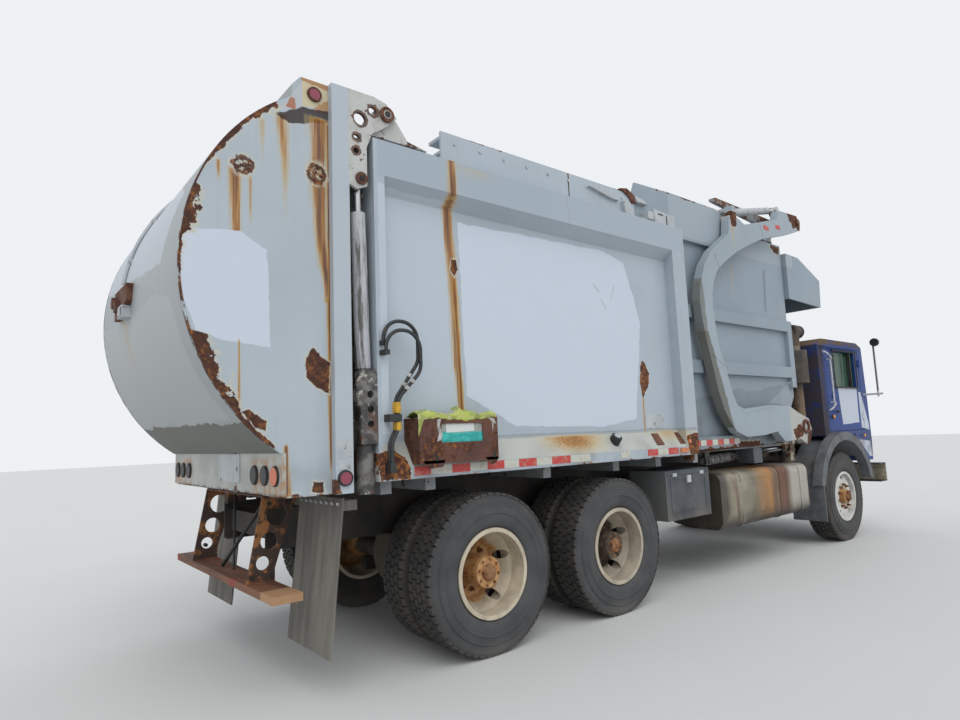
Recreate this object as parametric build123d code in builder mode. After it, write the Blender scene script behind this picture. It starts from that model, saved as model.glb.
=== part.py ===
from build123d import *

import os
from math import cos, radians, sin

# Front-loading refuse truck: a cab-forward chassis with a tandem rear axle, a packer body with its
# hopper behind the cab, C-shaped lift arms with forks folded back over the hopper, and a bulged
# tailgate hinged at its top. Millimetres, +X forward, +Y left, +Z up, ground at z = 0.
# Places along the truck are measured from the rearmost axle.

os.makedirs("parts", exist_ok=True)

# Reach ahead of and behind the rearmost axle, with the origin midway
front_reach = 7170
rear_reach = 2085
rear_axle_x = (rear_reach - front_reach) / 2

# Axles and wheels
tandem_spacing = 1340
wheelbase = 5780
tyre_radius = 540
rim_radius = 286
rim_flange = 16
dual_width = 276
dual_outer_y = 1080
dual_inner_y = 752
single_width = 312
front_wheel_y = 1050
running_gap = 0.3
hub_radius = 105
tread_share = 0.82

# Chassis rails
rail_y = 430
rail_flange = 80
rail_web = 10
rail_top_z = 1050
rail_depth = 270

# Storage body
body_half = 1120
post_half = body_half + 100
sheet = 20
body_rear = 1050
body_front = 2560
floor_z = 1220
floor_thick = 40
skirt_top_z = 1460
skirt_edge_z = 1300
beam_low_z = 3170
beam_top_z = 3410
roof_z = 3440
roof_thick = 30

# Hopper
hopper_half = body_half - 70
hopper_rib = 50
hopper_front = 4950
hopper_top_z = 3830
hopper_lip_z = 3670
floor_front = 4560

# Tailgate: an arc that ends ahead of the camera, with the lamp bar below it
gate_gap = 6
gate_half = post_half - 50
gate_rear = rear_reach - 65
gate_back = gate_rear - 620
gate_bar = gate_rear - 575
gate_arc_radius = 1268
gate_arc_x = gate_rear - gate_arc_radius
gate_arc_z = 2460
gate_low_z = 1170
gate_top_z = 3690
gate_pin_x = 780
gate_pin_z = 3590
gate_pin_radius = 28

# Lift arms
arm_in = hopper_half + hopper_rib + 30
arm_out = arm_in + 90
arm_pivot_x = 4800
arm_pivot_z = 1360
arm_tube_radius = 75
fork_pin_x = 5100
fork_pin_z = 3950

# Cab
cab_half = 1110
cab_wall = 60
cab_rear = 5575
cab_low_z = 1300
door_rear = 5850
door_front = 6830
door_gap = 6


def along(station):
    return rear_axle_x + station


def block(x, y, z, mode=Mode.ADD):
    with Locations(((x[0] + x[1]) / 2, (y[0] + y[1]) / 2, (z[0] + z[1]) / 2)):
        Box(x[1] - x[0], y[1] - y[0], z[1] - z[0], mode=mode)


def side_plate(points, y, mode=Mode.ADD):
    # An outline of (x, z) points, as thick as the two values of y are apart
    with BuildSketch(Plane.XZ.offset(-y[1])) as outline:
        with BuildLine():
            Polyline(*points, close=True)
        make_face()
    extrude(to_extrude=outline.sketch, amount=y[1] - y[0], mode=mode)


def long_section(points, x, mode=Mode.ADD):
    # A cross section of (y, z) points, run along the truck between two values of x
    with BuildSketch(Plane.YZ.offset(x[0])) as outline:
        with BuildLine():
            Polyline(*points, close=True)
        make_face()
    extrude(to_extrude=outline.sketch, amount=x[1] - x[0], mode=mode)


def bar(start, end, radius, mode=Mode.ADD):
    # A round bar between two points
    run = Vector(*end) - Vector(*start)
    with BuildSketch(Plane(origin=start, z_dir=run)) as outline:
        Circle(radius)
    extrude(to_extrude=outline.sketch, amount=run.length, mode=mode)


def cross_bar(x, z, y, radius, mode=Mode.ADD):
    bar((x, y[0], z), (x, y[1], z), radius, mode)


def hose(points, y, bend, radius):
    # A round hose through (x, z) points in a plane across y, with every corner bent to one radius
    with BuildLine(Plane.XZ.offset(-y)) as path:
        FilletPolyline(*points, radius=bend)
    with BuildSketch(Plane(origin=path.line @ 0, z_dir=path.line % 0)) as section:
        Circle(radius)
    sweep(sections=section.sketch, path=path.line)


def save(builder, name):
    builder.part.label = name
    export_step(builder.part, f"parts/{name}.step")


def on_side(side, inner, outer):
    # The span of y between two distances from the middle, on the left (1) or the right (-1)
    return sorted((side * inner, side * outer))


def both_sides(y):
    return (on_side(1, *y), on_side(-1, *y))


# Chassis frame: two channel rails, cross members and the rear end plate
frame_rear = along(-1290)
frame_front = along(6900)
rail_low_z = rail_top_z - rail_depth
cross_members = (-1200, -640, 670, 1960, 3100, 4100, 6700)
cab_mounts = (5640, 6420)
with BuildPart() as chassis_frame:
    for side in (1, -1):
        outer, inner = side * rail_y, side * (rail_y - rail_flange)
        web = side * (rail_y - rail_web)
        channel = (
            (outer, rail_low_z), (outer, rail_top_z), (inner, rail_top_z),
            (inner, rail_top_z - rail_web), (web, rail_top_z - rail_web),
            (web, rail_low_z + rail_web), (inner, rail_low_z + rail_web), (inner, rail_low_z),
        )
        long_section(channel, (frame_rear, frame_front))
    for station in cross_members:
        block(
            (along(station) - 40, along(station) + 40),
            (-rail_y + rail_web, rail_y - rail_web),
            (rail_low_z + 60, rail_top_z - 60),
        )
    for station in cab_mounts:
        for y in both_sides((rail_y - rail_flange + 2, rail_y)):
            block((along(station) - 40, along(station) + 40), y, (rail_top_z, cab_low_z))
save(chassis_frame, "chassis_frame")

# Front axle: a dropped beam with an eye for the kingpin at each end
front_axle_x = along(wheelbase)
kingpin_y = 920
kingpin_radius = 20
eye_radius = 42
eye_half = 50
beam_drop = 120
with BuildPart() as front_axle:
    block((front_axle_x - 40, front_axle_x + 40), (-700, 700),
          (tyre_radius - beam_drop - 60, tyre_radius - beam_drop + 40))
    for side in (1, -1):
        with BuildSketch(Plane.YZ.offset(front_axle_x - 40)) as end_arm:
            with BuildLine():
                Polyline(
                    (side * 640, tyre_radius - beam_drop - 60), (side * 720, tyre_radius - beam_drop - 60),
                    (side * 850, tyre_radius - eye_half), (side * 880, tyre_radius - eye_half),
                    (side * 880, tyre_radius + eye_half),
                    (side * 820, tyre_radius + eye_half), (side * 640, tyre_radius - beam_drop + 40),
                    close=True)
            make_face()
        extrude(to_extrude=end_arm.sketch, amount=80)
        bar((front_axle_x, side * kingpin_y, tyre_radius - eye_half),
            (front_axle_x, side * kingpin_y, tyre_radius + eye_half), eye_radius)
        bar((front_axle_x, side * kingpin_y, tyre_radius - eye_half),
            (front_axle_x, side * kingpin_y, tyre_radius + eye_half),
            kingpin_radius + running_gap, Mode.SUBTRACT)
save(front_axle, "front_axle")

# Knuckles: two ears on the kingpin, an outer plate and the wheel spindle
ear_gap = 1
ear_thick = 42
spindle_radius = 38
spindle_end_y = 1130
for side, name in ((1, "knuckle_left"), (-1, "knuckle_right")):
    with BuildPart() as knuckle:
        for low in (tyre_radius + eye_half + ear_gap, tyre_radius - eye_half - ear_gap - ear_thick):
            block((front_axle_x - 42, front_axle_x + 42), on_side(side, 886, 992),
                  (low, low + ear_thick))
        block((front_axle_x - 42, front_axle_x + 42), on_side(side, 968, 992),
              (tyre_radius - eye_half - ear_thick, tyre_radius + eye_half + ear_thick))
        bar((front_axle_x, side * kingpin_y, tyre_radius - eye_half - ear_thick),
            (front_axle_x, side * kingpin_y, tyre_radius + eye_half + ear_thick), kingpin_radius)
        cross_bar(front_axle_x, tyre_radius, (side * 990, side * spindle_end_y), spindle_radius)
    save(knuckle, name)


# Wheels: each profile is drawn across the wheel and turned about its axle
def wheel_plane(x, y):
    return Plane(origin=(x, y, tyre_radius), x_dir=(0, 1, 0), z_dir=(1, 0, 0))


def turned(x, y, outlines):
    # Turns closed outlines of (across, radius) points about the axle
    with BuildSketch(wheel_plane(x, y)) as profile:
        for points in outlines:
            with BuildLine():
                Polyline(*points, close=True)
            make_face()
    revolve(profiles=profile.sketch, axis=Axis((x, y, tyre_radius), (0, 1, 0)))


def tyre(x, y, width):
    bead = width / 2 - 26
    tread = width * tread_share / 2
    with BuildSketch(wheel_plane(x, y)) as profile:
        with BuildLine():
            Line((-bead, rim_radius + running_gap), (bead, rim_radius + running_gap))
            Line((bead, rim_radius + running_gap), (bead, rim_radius + rim_flange))
            ThreePointArc((bead, rim_radius + rim_flange), (width / 2, rim_radius + 120),
                          (tread + 10, tyre_radius - 22))
            Line((tread + 10, tyre_radius - 22), (tread, tyre_radius))
            Line((tread, tyre_radius), (-tread, tyre_radius))
            Line((-tread, tyre_radius), (-tread - 10, tyre_radius - 22))
            ThreePointArc((-tread - 10, tyre_radius - 22), (-width / 2, rim_radius + 120),
                          (-bead, rim_radius + rim_flange))
            Line((-bead, rim_radius + rim_flange), (-bead, rim_radius + running_gap))
        make_face()
    revolve(profiles=profile.sketch, axis=Axis((x, y, tyre_radius), (0, 1, 0)))


def rim_outline(width, low, high):
    # The barrel with its two flanges, between two places across the wheel
    edge = rim_radius + rim_flange
    wall = rim_radius - 12
    return (
        (low, wall), (high, wall), (high, edge), (high - 10, edge), (high - 10, rim_radius),
        (low + 10, rim_radius), (low + 10, edge), (low, edge),
    )


hand_holes = 5
hand_hole_radius = 34
disc_thick = 14
disc_flat = 190
disc_seat = 150
rear_sets = (("rear", 0), ("mid", tandem_spacing))
for axle, station in rear_sets:
    for side, hand in ((1, "left"), (-1, "right")):
        x = along(station)
        with BuildPart() as tyres:
            tyre(x, side * dual_outer_y, dual_width)
            tyre(x, side * dual_inner_y, dual_width)
        save(tyres, f"tyres_{axle}_{hand}")
        mate_y = (dual_outer_y + dual_inner_y) / 2
        reach = dual_width / 2 - 15
        offset_y = dual_outer_y - mate_y
        with BuildPart() as rims:
            outlines = []
            for sign in (1, -1):
                low, high = on_side(sign, offset_y - reach, offset_y + reach)
                outlines.append(rim_outline(dual_width, low, high))
                outlines.append((
                    (0, hub_radius - 5), (sign * disc_thick, hub_radius - 5), (sign * disc_thick, disc_flat),
                    (sign * (disc_seat + disc_thick), rim_radius - 6),
                    (sign * disc_seat, rim_radius - 6), (0, disc_flat),
                ))
            mirrored = [[(side * across, radius) for across, radius in points] for points in outlines]
            turned(x, side * mate_y, mirrored)
            cross_bar(x, tyre_radius, (side * 640, side * (dual_outer_y + 60)), hub_radius)
            with Locations(Plane(origin=(x, side * mate_y, tyre_radius), z_dir=(0, 1, 0))):
                with PolarLocations(236, hand_holes):
                    Cylinder(hand_hole_radius, 2 * dual_width, mode=Mode.SUBTRACT)
        save(rims, f"rims_{axle}_{hand}")

bore_end_y = 1140
for side, hand in ((1, "left"), (-1, "right")):
    with BuildPart() as front_tyre:
        tyre(front_axle_x, side * front_wheel_y, single_width)
    save(front_tyre, f"tyre_front_{hand}")
    reach = single_width / 2 - 15
    with BuildPart() as front_rim:
        outlines = (
            rim_outline(single_width, -reach, reach),
            ((60, 60), (76, 60), (112, 130), (112, 215), (92, rim_radius - 6), (78, rim_radius - 6),
             (98, 205), (98, 135)),
        )
        mirrored = [[(side * across, radius) for across, radius in points] for points in outlines]
        turned(front_axle_x, side * front_wheel_y, mirrored)
        cross_bar(front_axle_x, tyre_radius, (side * 1004, side * 1212), 84)
        cross_bar(front_axle_x, tyre_radius, (side * 1000, side * bore_end_y),
                  spindle_radius + running_gap, Mode.SUBTRACT)
        with Locations(Plane(origin=(front_axle_x, side * (front_wheel_y + 80), tyre_radius),
                             z_dir=(0, 1, 0))):
            with PolarLocations(232, hand_holes):
                Cylinder(30, 90, mode=Mode.SUBTRACT)
    save(front_rim, f"rim_front_{hand}")

# Rear axles: housings with their differentials, ending just inside the hubs
housing_radius = 75
with BuildPart() as rear_axles:
    for axle, station in rear_sets:
        x = along(station)
        cross_bar(x, tyre_radius, (-640 + running_gap, 640 - running_gap), housing_radius)
        bar((x - 150, 0, tyre_radius), (x + 190, 0, tyre_radius), 190)
    bar((along(0) + 150, 0, tyre_radius), (along(tandem_spacing) - 150, 0, tyre_radius), 45)
save(rear_axles, "rear_axles")

# Suspension: rear walking beams with their saddles, front leaf springs with hangers
front_spring_y = 430
with BuildPart() as suspension:
    centre = along(tandem_spacing / 2)
    for side in (1, -1):
        y = on_side(side, rail_y + 12, rail_y + 82)
        side_plate(
            ((along(-90), tyre_radius - 190), (along(tandem_spacing + 90), tyre_radius - 190),
             (along(tandem_spacing + 90), tyre_radius - housing_radius - running_gap),
             (along(tandem_spacing - 100), tyre_radius - housing_radius - running_gap),
             (centre + 180, tyre_radius - 20), (centre + 120, rail_low_z + 120),
             (centre - 120, rail_low_z + 120), (centre - 180, tyre_radius - 20),
             (along(100), tyre_radius - housing_radius - running_gap),
             (along(-90), tyre_radius - housing_radius - running_gap)),
            y)
        block((centre - 110, centre + 110), on_side(side, rail_y, rail_y + 12),
              (rail_low_z + 20, rail_low_z + 220))
        spring_y = on_side(side, front_spring_y - 40, front_spring_y + 40)
        spring_z = tyre_radius - beam_drop + 40
        side_plate(
            ((front_axle_x - 120, spring_z), (front_axle_x + 120, spring_z),
             (front_axle_x + 640, spring_z + 90), (front_axle_x + 640, spring_z + 120),
             (front_axle_x + 120, spring_z + 90), (front_axle_x - 120, spring_z + 90),
             (front_axle_x - 640, spring_z + 120), (front_axle_x - 640, spring_z + 90)),
            spring_y)
        for end in (-640, 600):
            block((front_axle_x + end, front_axle_x + end + 40), spring_y,
                  (spring_z + 90, rail_low_z))
save(suspension, "suspension")

# Engine and gearbox as plain blocks, with the drive shaft back to the tandem
with BuildPart() as engine_and_gearbox:
    engine_half = rail_y - rail_flange - running_gap
    block((along(5480), along(6520)), (-engine_half, engine_half), (640, 1280))
    block((along(4750), along(5480)), (-200, 200), (680, 1030))
    bar((along(4750), 0, 800), (along(tandem_spacing) + 195, 0, tyre_radius + 60), 50)
save(engine_and_gearbox, "engine_and_gearbox")

# Fuel tank with its straps, on the right rail
tank_rear, tank_front = along(2920), along(4780)
tank_out, tank_in = 1190, 720
tank_low_z, tank_top_z = 460, 1010
with BuildPart() as fuel_tank:
    block((tank_rear, tank_front), (-tank_out, -tank_in), (tank_low_z, tank_top_z))
    fillet(fuel_tank.edges().filter_by(Axis.X), 90)
    for station in (tank_rear + 400, tank_front - 430):
        block((station, station + 70), (-tank_in, -rail_y), (tank_low_z + 120, tank_low_z + 420))
save(fuel_tank, "fuel_tank")

# Tool and battery boxes, and the small box under the hopper
with BuildPart() as equipment_boxes:
    block((along(2080), along(2780)), (-1160, -760), (640, 1085))
    block((along(2130), along(2730)), (-760, -rail_y), (760, 900))
    block((along(3780), along(3960)), (-hopper_half - 50, -hopper_half + 130), (1060, floor_z))
    block((along(2900), along(4300)), (760, 1150), (560, 1010))
    block((along(3000), along(4200)), (rail_y, 760), (760, 900))
save(equipment_boxes, "equipment_boxes")

# Bumper: a channel across the front with two tow eyes
bumper_rear, bumper_front = along(6950), along(front_reach)
tow_eye_y = 330
tow_eye_radius = 16
with BuildPart() as front_bumper:
    block((bumper_rear, bumper_front), (-1200, 1200), (630, 880))
    block((bumper_rear - 1, bumper_front - 14), (-1201, 1201), (644, 866), Mode.SUBTRACT)
    for side in (1, -1):
        y = on_side(side, rail_y - 60, rail_y)
        block((frame_front, bumper_front - 14), y, (644, 866))
        y = (side * tow_eye_y - 15, side * tow_eye_y + 15)
        side_plate(
            ((bumper_front - 120, 630), (bumper_front - 100, 560), (bumper_front - 30, 560),
             (bumper_front - 10, 630)), y)
        cross_bar(bumper_front - 65, 592, y, tow_eye_radius, Mode.SUBTRACT)
save(front_bumper, "front_bumper")

# Body floor with its bearers, on the two sub-frame beams
bearer_stations = (-760, -420, 670, 1500, 2100, 2700)
bearer_depth = 90
with BuildPart() as body_floor:
    block((along(-body_rear), along(floor_front)), (-hopper_half + sheet, hopper_half - sheet),
          (floor_z, floor_z + floor_thick))
    for station in bearer_stations:
        for y in both_sides((rail_y, body_half - 40)):
            block((along(station) - 40, along(station) + 40), y, (floor_z - bearer_depth, floor_z))
save(body_floor, "body_floor")

# Sub-frame beams, and the outriggers below the arms' bearings
bearing_in, bearing_out = hopper_half - 90, hopper_half - 30
with BuildPart() as subframe:
    for y in both_sides((rail_y - 90, rail_y)):
        block((along(-body_rear), along(arm_pivot_x + 100)), y, (rail_top_z, floor_z))
    for y in both_sides((rail_y, bearing_out)):
        block((along(arm_pivot_x) - 5, along(arm_pivot_x) + 100), y, (rail_top_z - 100, rail_top_z - 20))
save(subframe, "subframe")

# Body sides: sheet, rear post, top beam, sloped sill and the front post
post_rear, post_front = 885, 805
recess_half = body_half - 45
bolster_rear, bolster_front = 2360, body_front
hopper_sill_half = body_half - 8
with BuildPart() as body_sides:
    for side in (1, -1):
        block((along(-post_front), along(bolster_rear)), on_side(side, body_half - sheet, body_half),
              (floor_z, roof_z - roof_thick))
        block((along(-post_rear), along(-post_front)),
              on_side(side, recess_half - 2 * sheet, post_half), (floor_z, roof_z - roof_thick))
        beam = ((body_half, beam_low_z - 90), (post_half, beam_low_z), (post_half, beam_top_z),
                (body_half, roof_z - roof_thick))
        sill = ((body_half, floor_z), (post_half, floor_z), (post_half, skirt_edge_z),
                (body_half, skirt_top_z))
        for section in (beam, sill):
            long_section([(side * y, z) for y, z in section], (along(-post_front), along(bolster_rear)))
        block((along(bolster_rear), along(bolster_front)),
              on_side(side, hopper_half - sheet, post_half), (floor_z, roof_z - roof_thick))
save(body_sides, "body_sides")

# Roof with the raised rails that carry the top door
rail_in, rail_out = body_half - 100, body_half
rail_z_low, rail_z_top = 3510, 3670
ledge_in, ledge_z = hopper_half - 85, 3640
roof_rail_rear, roof_rail_front = -270, 1950
with BuildPart() as body_roof:
    block((along(-body_rear + 60), along(body_front)), (-body_half + sheet, body_half - sheet),
          (roof_z - roof_thick, roof_z))
    for side in (1, -1):
        section = ((rail_in, rail_z_low), (rail_out, rail_z_low), (rail_out, rail_z_top),
                   (rail_out - 20, rail_z_top), (rail_out - 20, ledge_z), (ledge_in, ledge_z),
                   (ledge_in, ledge_z - 24), (rail_out - 20, ledge_z - 24),
                   (rail_out - 20, rail_z_low + 20), (rail_in, rail_z_low + 20))
        long_section([(side * y, z) for y, z in section], (along(roof_rail_rear), along(roof_rail_front)))
        block((along(roof_rail_rear), along(roof_rail_front)), on_side(side, rail_out - 20, rail_out),
              (roof_z - roof_thick, rail_z_low + 1))
save(body_roof, "body_roof")

# Hopper sides: a wall with two wide ribs
hopper_rear_top = 1950
rib_height = 130
with BuildPart() as hopper_sides:
    for side in (1, -1):
        wall = (
            (along(body_front), floor_z), (along(floor_front), floor_z + 30), (along(hopper_front), 1800),
            (along(hopper_front), hopper_lip_z), (along(body_front), hopper_lip_z),
        )
        side_plate(wall, on_side(side, hopper_half - sheet, hopper_half))
        for rib_z in (2080, 2640):
            block((along(body_front), along(hopper_front)),
                  on_side(side, hopper_half, hopper_half + hopper_rib),
                  (rib_z - rib_height / 2, rib_z + rib_height / 2))
        block((along(hopper_front) - 110, along(hopper_front)),
              on_side(side, hopper_half, hopper_half + hopper_rib), (1900, 2640 - rib_height / 2))
        block((along(body_front), along(4880)),
              on_side(side, ledge_in, hopper_half - sheet), (ledge_z - 24, ledge_z))
        block((along(body_front), along(3470)), on_side(side, hopper_half, hopper_sill_half),
              (floor_z + 30, floor_z + 150))
save(hopper_sides, "hopper_sides")

# The raised upper part beside the top door
box_front = 3600
with BuildPart() as hopper_top_sides:
    for side in (1, -1):
        side_plate(
            ((along(hopper_rear_top), roof_z), (along(body_front), roof_z),
             (along(body_front), hopper_top_z), (along(hopper_rear_top + 60), hopper_top_z - 20),
             (along(hopper_rear_top), rail_z_top)),
            on_side(side, body_half - 40, body_half - 20))
        block((along(hopper_rear_top), along(body_front)),
              on_side(side, ledge_in, body_half - 40), (ledge_z - 24, ledge_z))
        slope = ((along(box_front), hopper_lip_z + 60), (along(box_front - 170), hopper_top_z),
                 (along(body_front), hopper_top_z))
        side_plate(((along(body_front), hopper_lip_z), (along(box_front), hopper_lip_z), *slope),
                   on_side(side, hopper_half - sheet, hopper_half))
        side_plate(((along(body_front), roof_z - 60), (along(box_front), roof_z - 60), *slope),
                   on_side(side, hopper_half, body_half - 20))
save(hopper_top_sides, "hopper_top_sides")

# Hopper front wall and the canopy over the back of the cab
chin_foot = floor_front + 40
with BuildPart() as hopper_front_wall:
    side_plate(
        ((along(floor_front), floor_z + 30), (along(chin_foot), floor_z + 30),
         (along(hopper_front) + 30, 1790), (along(hopper_front) + 30, 3640),
         (along(hopper_front), 3640), (along(hopper_front), 1800)),
        (-hopper_half + sheet, hopper_half - sheet))
    side_plate(
        ((along(hopper_front) + 28, 3570), (along(5310), 3560), (along(5880), 3330), (along(5840), 2970),
         (along(hopper_front) + 28, 3000)),
        (-hopper_half - 50, hopper_half + 50))
    side_plate(
        ((along(hopper_front) + 30, 3550), (along(5306), 3540), (along(5858), 3316), (along(5824), 2960),
         (along(hopper_front) + 30, 2960)),
        (-hopper_half - 30, hopper_half + 30), Mode.SUBTRACT)
save(hopper_front_wall, "hopper_front")

# Top door: a ribbed panel between the raised hopper sides, on shoes in the rails
door_panel_rear, door_panel_front = 2880, 4860
door_panel_half = hopper_half - 50
with BuildPart() as top_door:
    block((along(door_panel_rear), along(door_panel_front)), (-door_panel_half, door_panel_half),
          (3700, 3720))
    for station in (2880, 3360, 3840, 4320, 4800):
        block((along(station), along(station) + 60), (-door_panel_half, door_panel_half), (3720, 3790))
    for y in both_sides((door_panel_half - 40, door_panel_half)):
        block((along(door_panel_rear), along(door_panel_front)), y, (ledge_z + running_gap, 3700))
save(top_door, "top_door")

# Packer panel at the front of the hopper
with BuildPart() as packer_panel:
    side_plate(
        ((along(4000), floor_z + floor_thick + 8), (along(4380), floor_z + floor_thick + 8),
         (along(4380), 2300), (along(4100), 2300), (along(4000), 2100)),
        (-hopper_half + sheet + 12, hopper_half - sheet - 12))
    for y in both_sides((700, 760)):
        block((along(4000), along(4380)), y,
              (floor_z + floor_thick + running_gap, floor_z + floor_thick + 8))
save(packer_panel, "packer_panel")


# Tailgate: curved skin between two side plates, open to the body
def gate_outline(inset):
    radius = gate_arc_radius - inset
    centre = (along(-gate_arc_x), gate_arc_z)
    top = gate_top_z - inset
    low = gate_low_z + inset
    back_x = along(-gate_back) + inset
    bar_x = along(-gate_bar) + inset
    front_x = along(-body_rear - gate_gap)
    high_z = centre[1] + (radius ** 2 - (centre[0] - back_x) ** 2) ** 0.5
    low_arc_x = centre[0] - (radius ** 2 - (centre[1] - 1420) ** 2) ** 0.5
    with BuildLine() as line:
        Polyline((back_x, high_z), (back_x, top - 60), (back_x + 50, top), (front_x, top),
                 (front_x, low), (bar_x, low), (bar_x, 1420), (low_arc_x, 1420))
        ThreePointArc((low_arc_x, 1420), (centre[0] - radius, centre[1]), (back_x, high_z))
    return line.edges()


gate_skin = 20
with BuildPart() as tailgate_shell:
    with BuildSketch(Plane.XZ.offset(-gate_half)) as outline:
        make_face(gate_outline(0))
    extrude(to_extrude=outline.sketch, amount=2 * gate_half)
    with BuildSketch(Plane.XZ.offset(-gate_half + gate_skin)) as hollow:
        make_face(gate_outline(gate_skin))
    extrude(to_extrude=hollow.sketch, amount=2 * (gate_half - gate_skin), mode=Mode.SUBTRACT)
save(tailgate_shell, "tailgate_shell")

# Tailgate frame: side posts, hinge plates, lamp boxes, lower bar and the rear camera box
gate_post_rear, gate_post_front = -1170, -1056
hinge_plate_in = post_half - 25
gate_eye_x, gate_eye_z = -975, 3110
gate_bar_thick = 20
hinge_plate_holes = ((-975, 3510, 42), (-880, 3590, 30), (-1000, 3380, 20), (-1005, 3290, 20))
pin_x, pin_z = along(-gate_pin_x), gate_pin_z
with BuildPart() as tailgate_frame:
    for side in (1, -1):
        block((along(gate_post_rear), along(gate_post_front)), on_side(side, gate_half, post_half),
              (gate_low_z, gate_top_z))
        plate_y = on_side(side, hinge_plate_in, post_half)
        side_plate(
            ((along(gate_post_front), 3690), (along(-870), 3690), (pin_x, pin_z + 80), (pin_x + 80, pin_z),
             (pin_x, pin_z - 80), (along(-890), 3430), (along(-930), 3330), (along(-930), 3070),
             (along(-1000), 3040), (along(gate_post_front), 3060)), plate_y)
        cross_bar(pin_x, pin_z, plate_y, gate_pin_radius + running_gap, Mode.SUBTRACT)
        for hole_x, hole_z, radius in hinge_plate_holes:
            cross_bar(along(hole_x), hole_z, plate_y, radius, Mode.SUBTRACT)
    block((along(-gate_bar - gate_bar_thick), along(-gate_bar)), (-gate_half, gate_half), (1180, 1420))
save(tailgate_frame, "tailgate_frame")

camera_y = 330
camera_back = gate_rear + 35
with BuildPart() as camera_box:
    block((along(-camera_back), along(-gate_rear) - running_gap), (camera_y - 120, camera_y + 120),
          (2380, 2580))
    block((along(-rear_reach), along(-camera_back)), (camera_y - 90, camera_y - 10), (2420, 2500))
    bar((along(-camera_back), camera_y + 60, 2500), (along(-rear_reach), camera_y + 60, 2500), 42)
save(camera_box, "camera_box")

# Lamps on the tailgate: three to a side on the lower bar, one high on its side and one low on the post
lamp_depth = 14
lamp_row = (gate_half - 440, gate_half - 270, gate_half - 110)
bar_face = along(-gate_bar - gate_bar_thick)
top_lamp_x, top_lamp_z = -1262, 3600
with BuildPart() as tail_lamps:
    for side in (1, -1):
        for lamp_y in lamp_row:
            bar((bar_face, side * lamp_y, 1290), (bar_face - lamp_depth, side * lamp_y, 1290), 52)
        cross_bar(along(top_lamp_x), top_lamp_z, on_side(side, gate_half, gate_half + lamp_depth), 34)
        cross_bar(along(-1112), 1260, on_side(side, post_half, post_half + lamp_depth), 36)
save(tail_lamps, "tail_lamps")

lug_in, lug_out = recess_half + 10, post_half - 32
anchor_x, anchor_z = -950, 1870

# Cylinders: barrels and rods of the left and right share a body, on one line across the truck
foot_pin_radius = 22


def cylinder_pair(barrel_name, rod_name, foot, eye, y, reaches, sizes):
    # The reaches are those of the barrel's mouth and of the rod's inner end, from the foot
    barrel_length, rod_start = reaches
    barrel_radius, rod_radius, eye_radius, eye_width = sizes
    run = Vector(eye[0] - foot[0], 0, eye[1] - foot[1]).normalized()
    with BuildPart() as barrels:
        for side in (1, -1):
            start = Vector(foot[0], side * y, foot[1])
            bar(start + run * (eye_radius - 5), start + run * barrel_length, barrel_radius)
            cross_bar(foot[0], foot[1], (side * y - eye_width / 2, side * y + eye_width / 2), eye_radius)
            bar(start + run * (eye_radius + 12), start + run * (barrel_length + 1),
                rod_radius + running_gap, Mode.SUBTRACT)
            cross_bar(foot[0], foot[1], (side * y - eye_width / 2, side * y + eye_width / 2),
                      foot_pin_radius + running_gap, Mode.SUBTRACT)
    save(barrels, barrel_name)
    with BuildPart() as rods:
        for side in (1, -1):
            start = Vector(foot[0], side * y, foot[1])
            end = Vector(eye[0], side * y, eye[1])
            bar(start + run * rod_start, end - run * (eye_radius - 5), rod_radius)
            cross_bar(eye[0], eye[1], (side * y - eye_width / 2, side * y + eye_width / 2), eye_radius)
    save(rods, rod_name)


gate_cylinder_y = post_half - 60
cylinder_pair("tailgate_cylinder_barrels", "tailgate_cylinder_rods",
              (along(anchor_x), anchor_z), (along(gate_eye_x), gate_eye_z),
              gate_cylinder_y, (1030, 85), (48, 24, 45, 60))

# Lift cylinders under the hopper, to levers on the arms' torque tube
foot_x, foot_z = along(3300), 1110
lift_y = 800
lift_eye_width = 56
lift_eye_radius = 42
pivot_x, pivot_z = along(arm_pivot_x), arm_pivot_z
lever_radius = 280
lever_angle = -40
lever_run = Vector(cos(radians(lever_angle)), sin(radians(lever_angle)))
lever_eye = (pivot_x + lever_radius * lever_run.X, pivot_z + lever_radius * lever_run.Y)
cylinder_pair("lift_cylinder_barrels", "lift_cylinder_rods", (foot_x, foot_z), lever_eye, lift_y,
              (1000, 490), (52, 30, lift_eye_radius, lift_eye_width))

# Lift arms: an outer C on each side, joined by the torque tube behind the cab
arm_back = (
    (4660, 1290), (4280, 1270), (4120, 1390), (3840, 1360), (3470, 1350), (3300, 1400), (3180, 1490),
    (3070, 1630), (2990, 1810), (2930, 2030), (2860, 2270), (2800, 2510), (2780, 2730), (2820, 2920),
    (2920, 3120), (3080, 3290), (3360, 3470), (3440, 3530), (3490, 3740), (3660, 3740), (3800, 3690),
    (4590, 3900), (4640, 4020), (5110, 4040),
)
arm_front = (
    (5190, 3950), (5170, 3860), (4890, 3770), (4450, 3660), (4150, 3580), (3860, 3465), (3580, 3345),
    (3310, 3190), (3150, 3080), (3065, 2950), (3020, 2820), (3010, 2690), (3030, 2480), (3070, 2260),
    (3130, 2130), (3250, 1800), (3320, 1680), (3450, 1640), (4020, 1680), (4450, 1670), (4660, 1590),
    (4900, 1520), (4960, 1380), (4900, 1270), (4800, 1230),
)
fork_cylinder_y = arm_in - 70
fork_foot = (along(3590), 3830)
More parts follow.
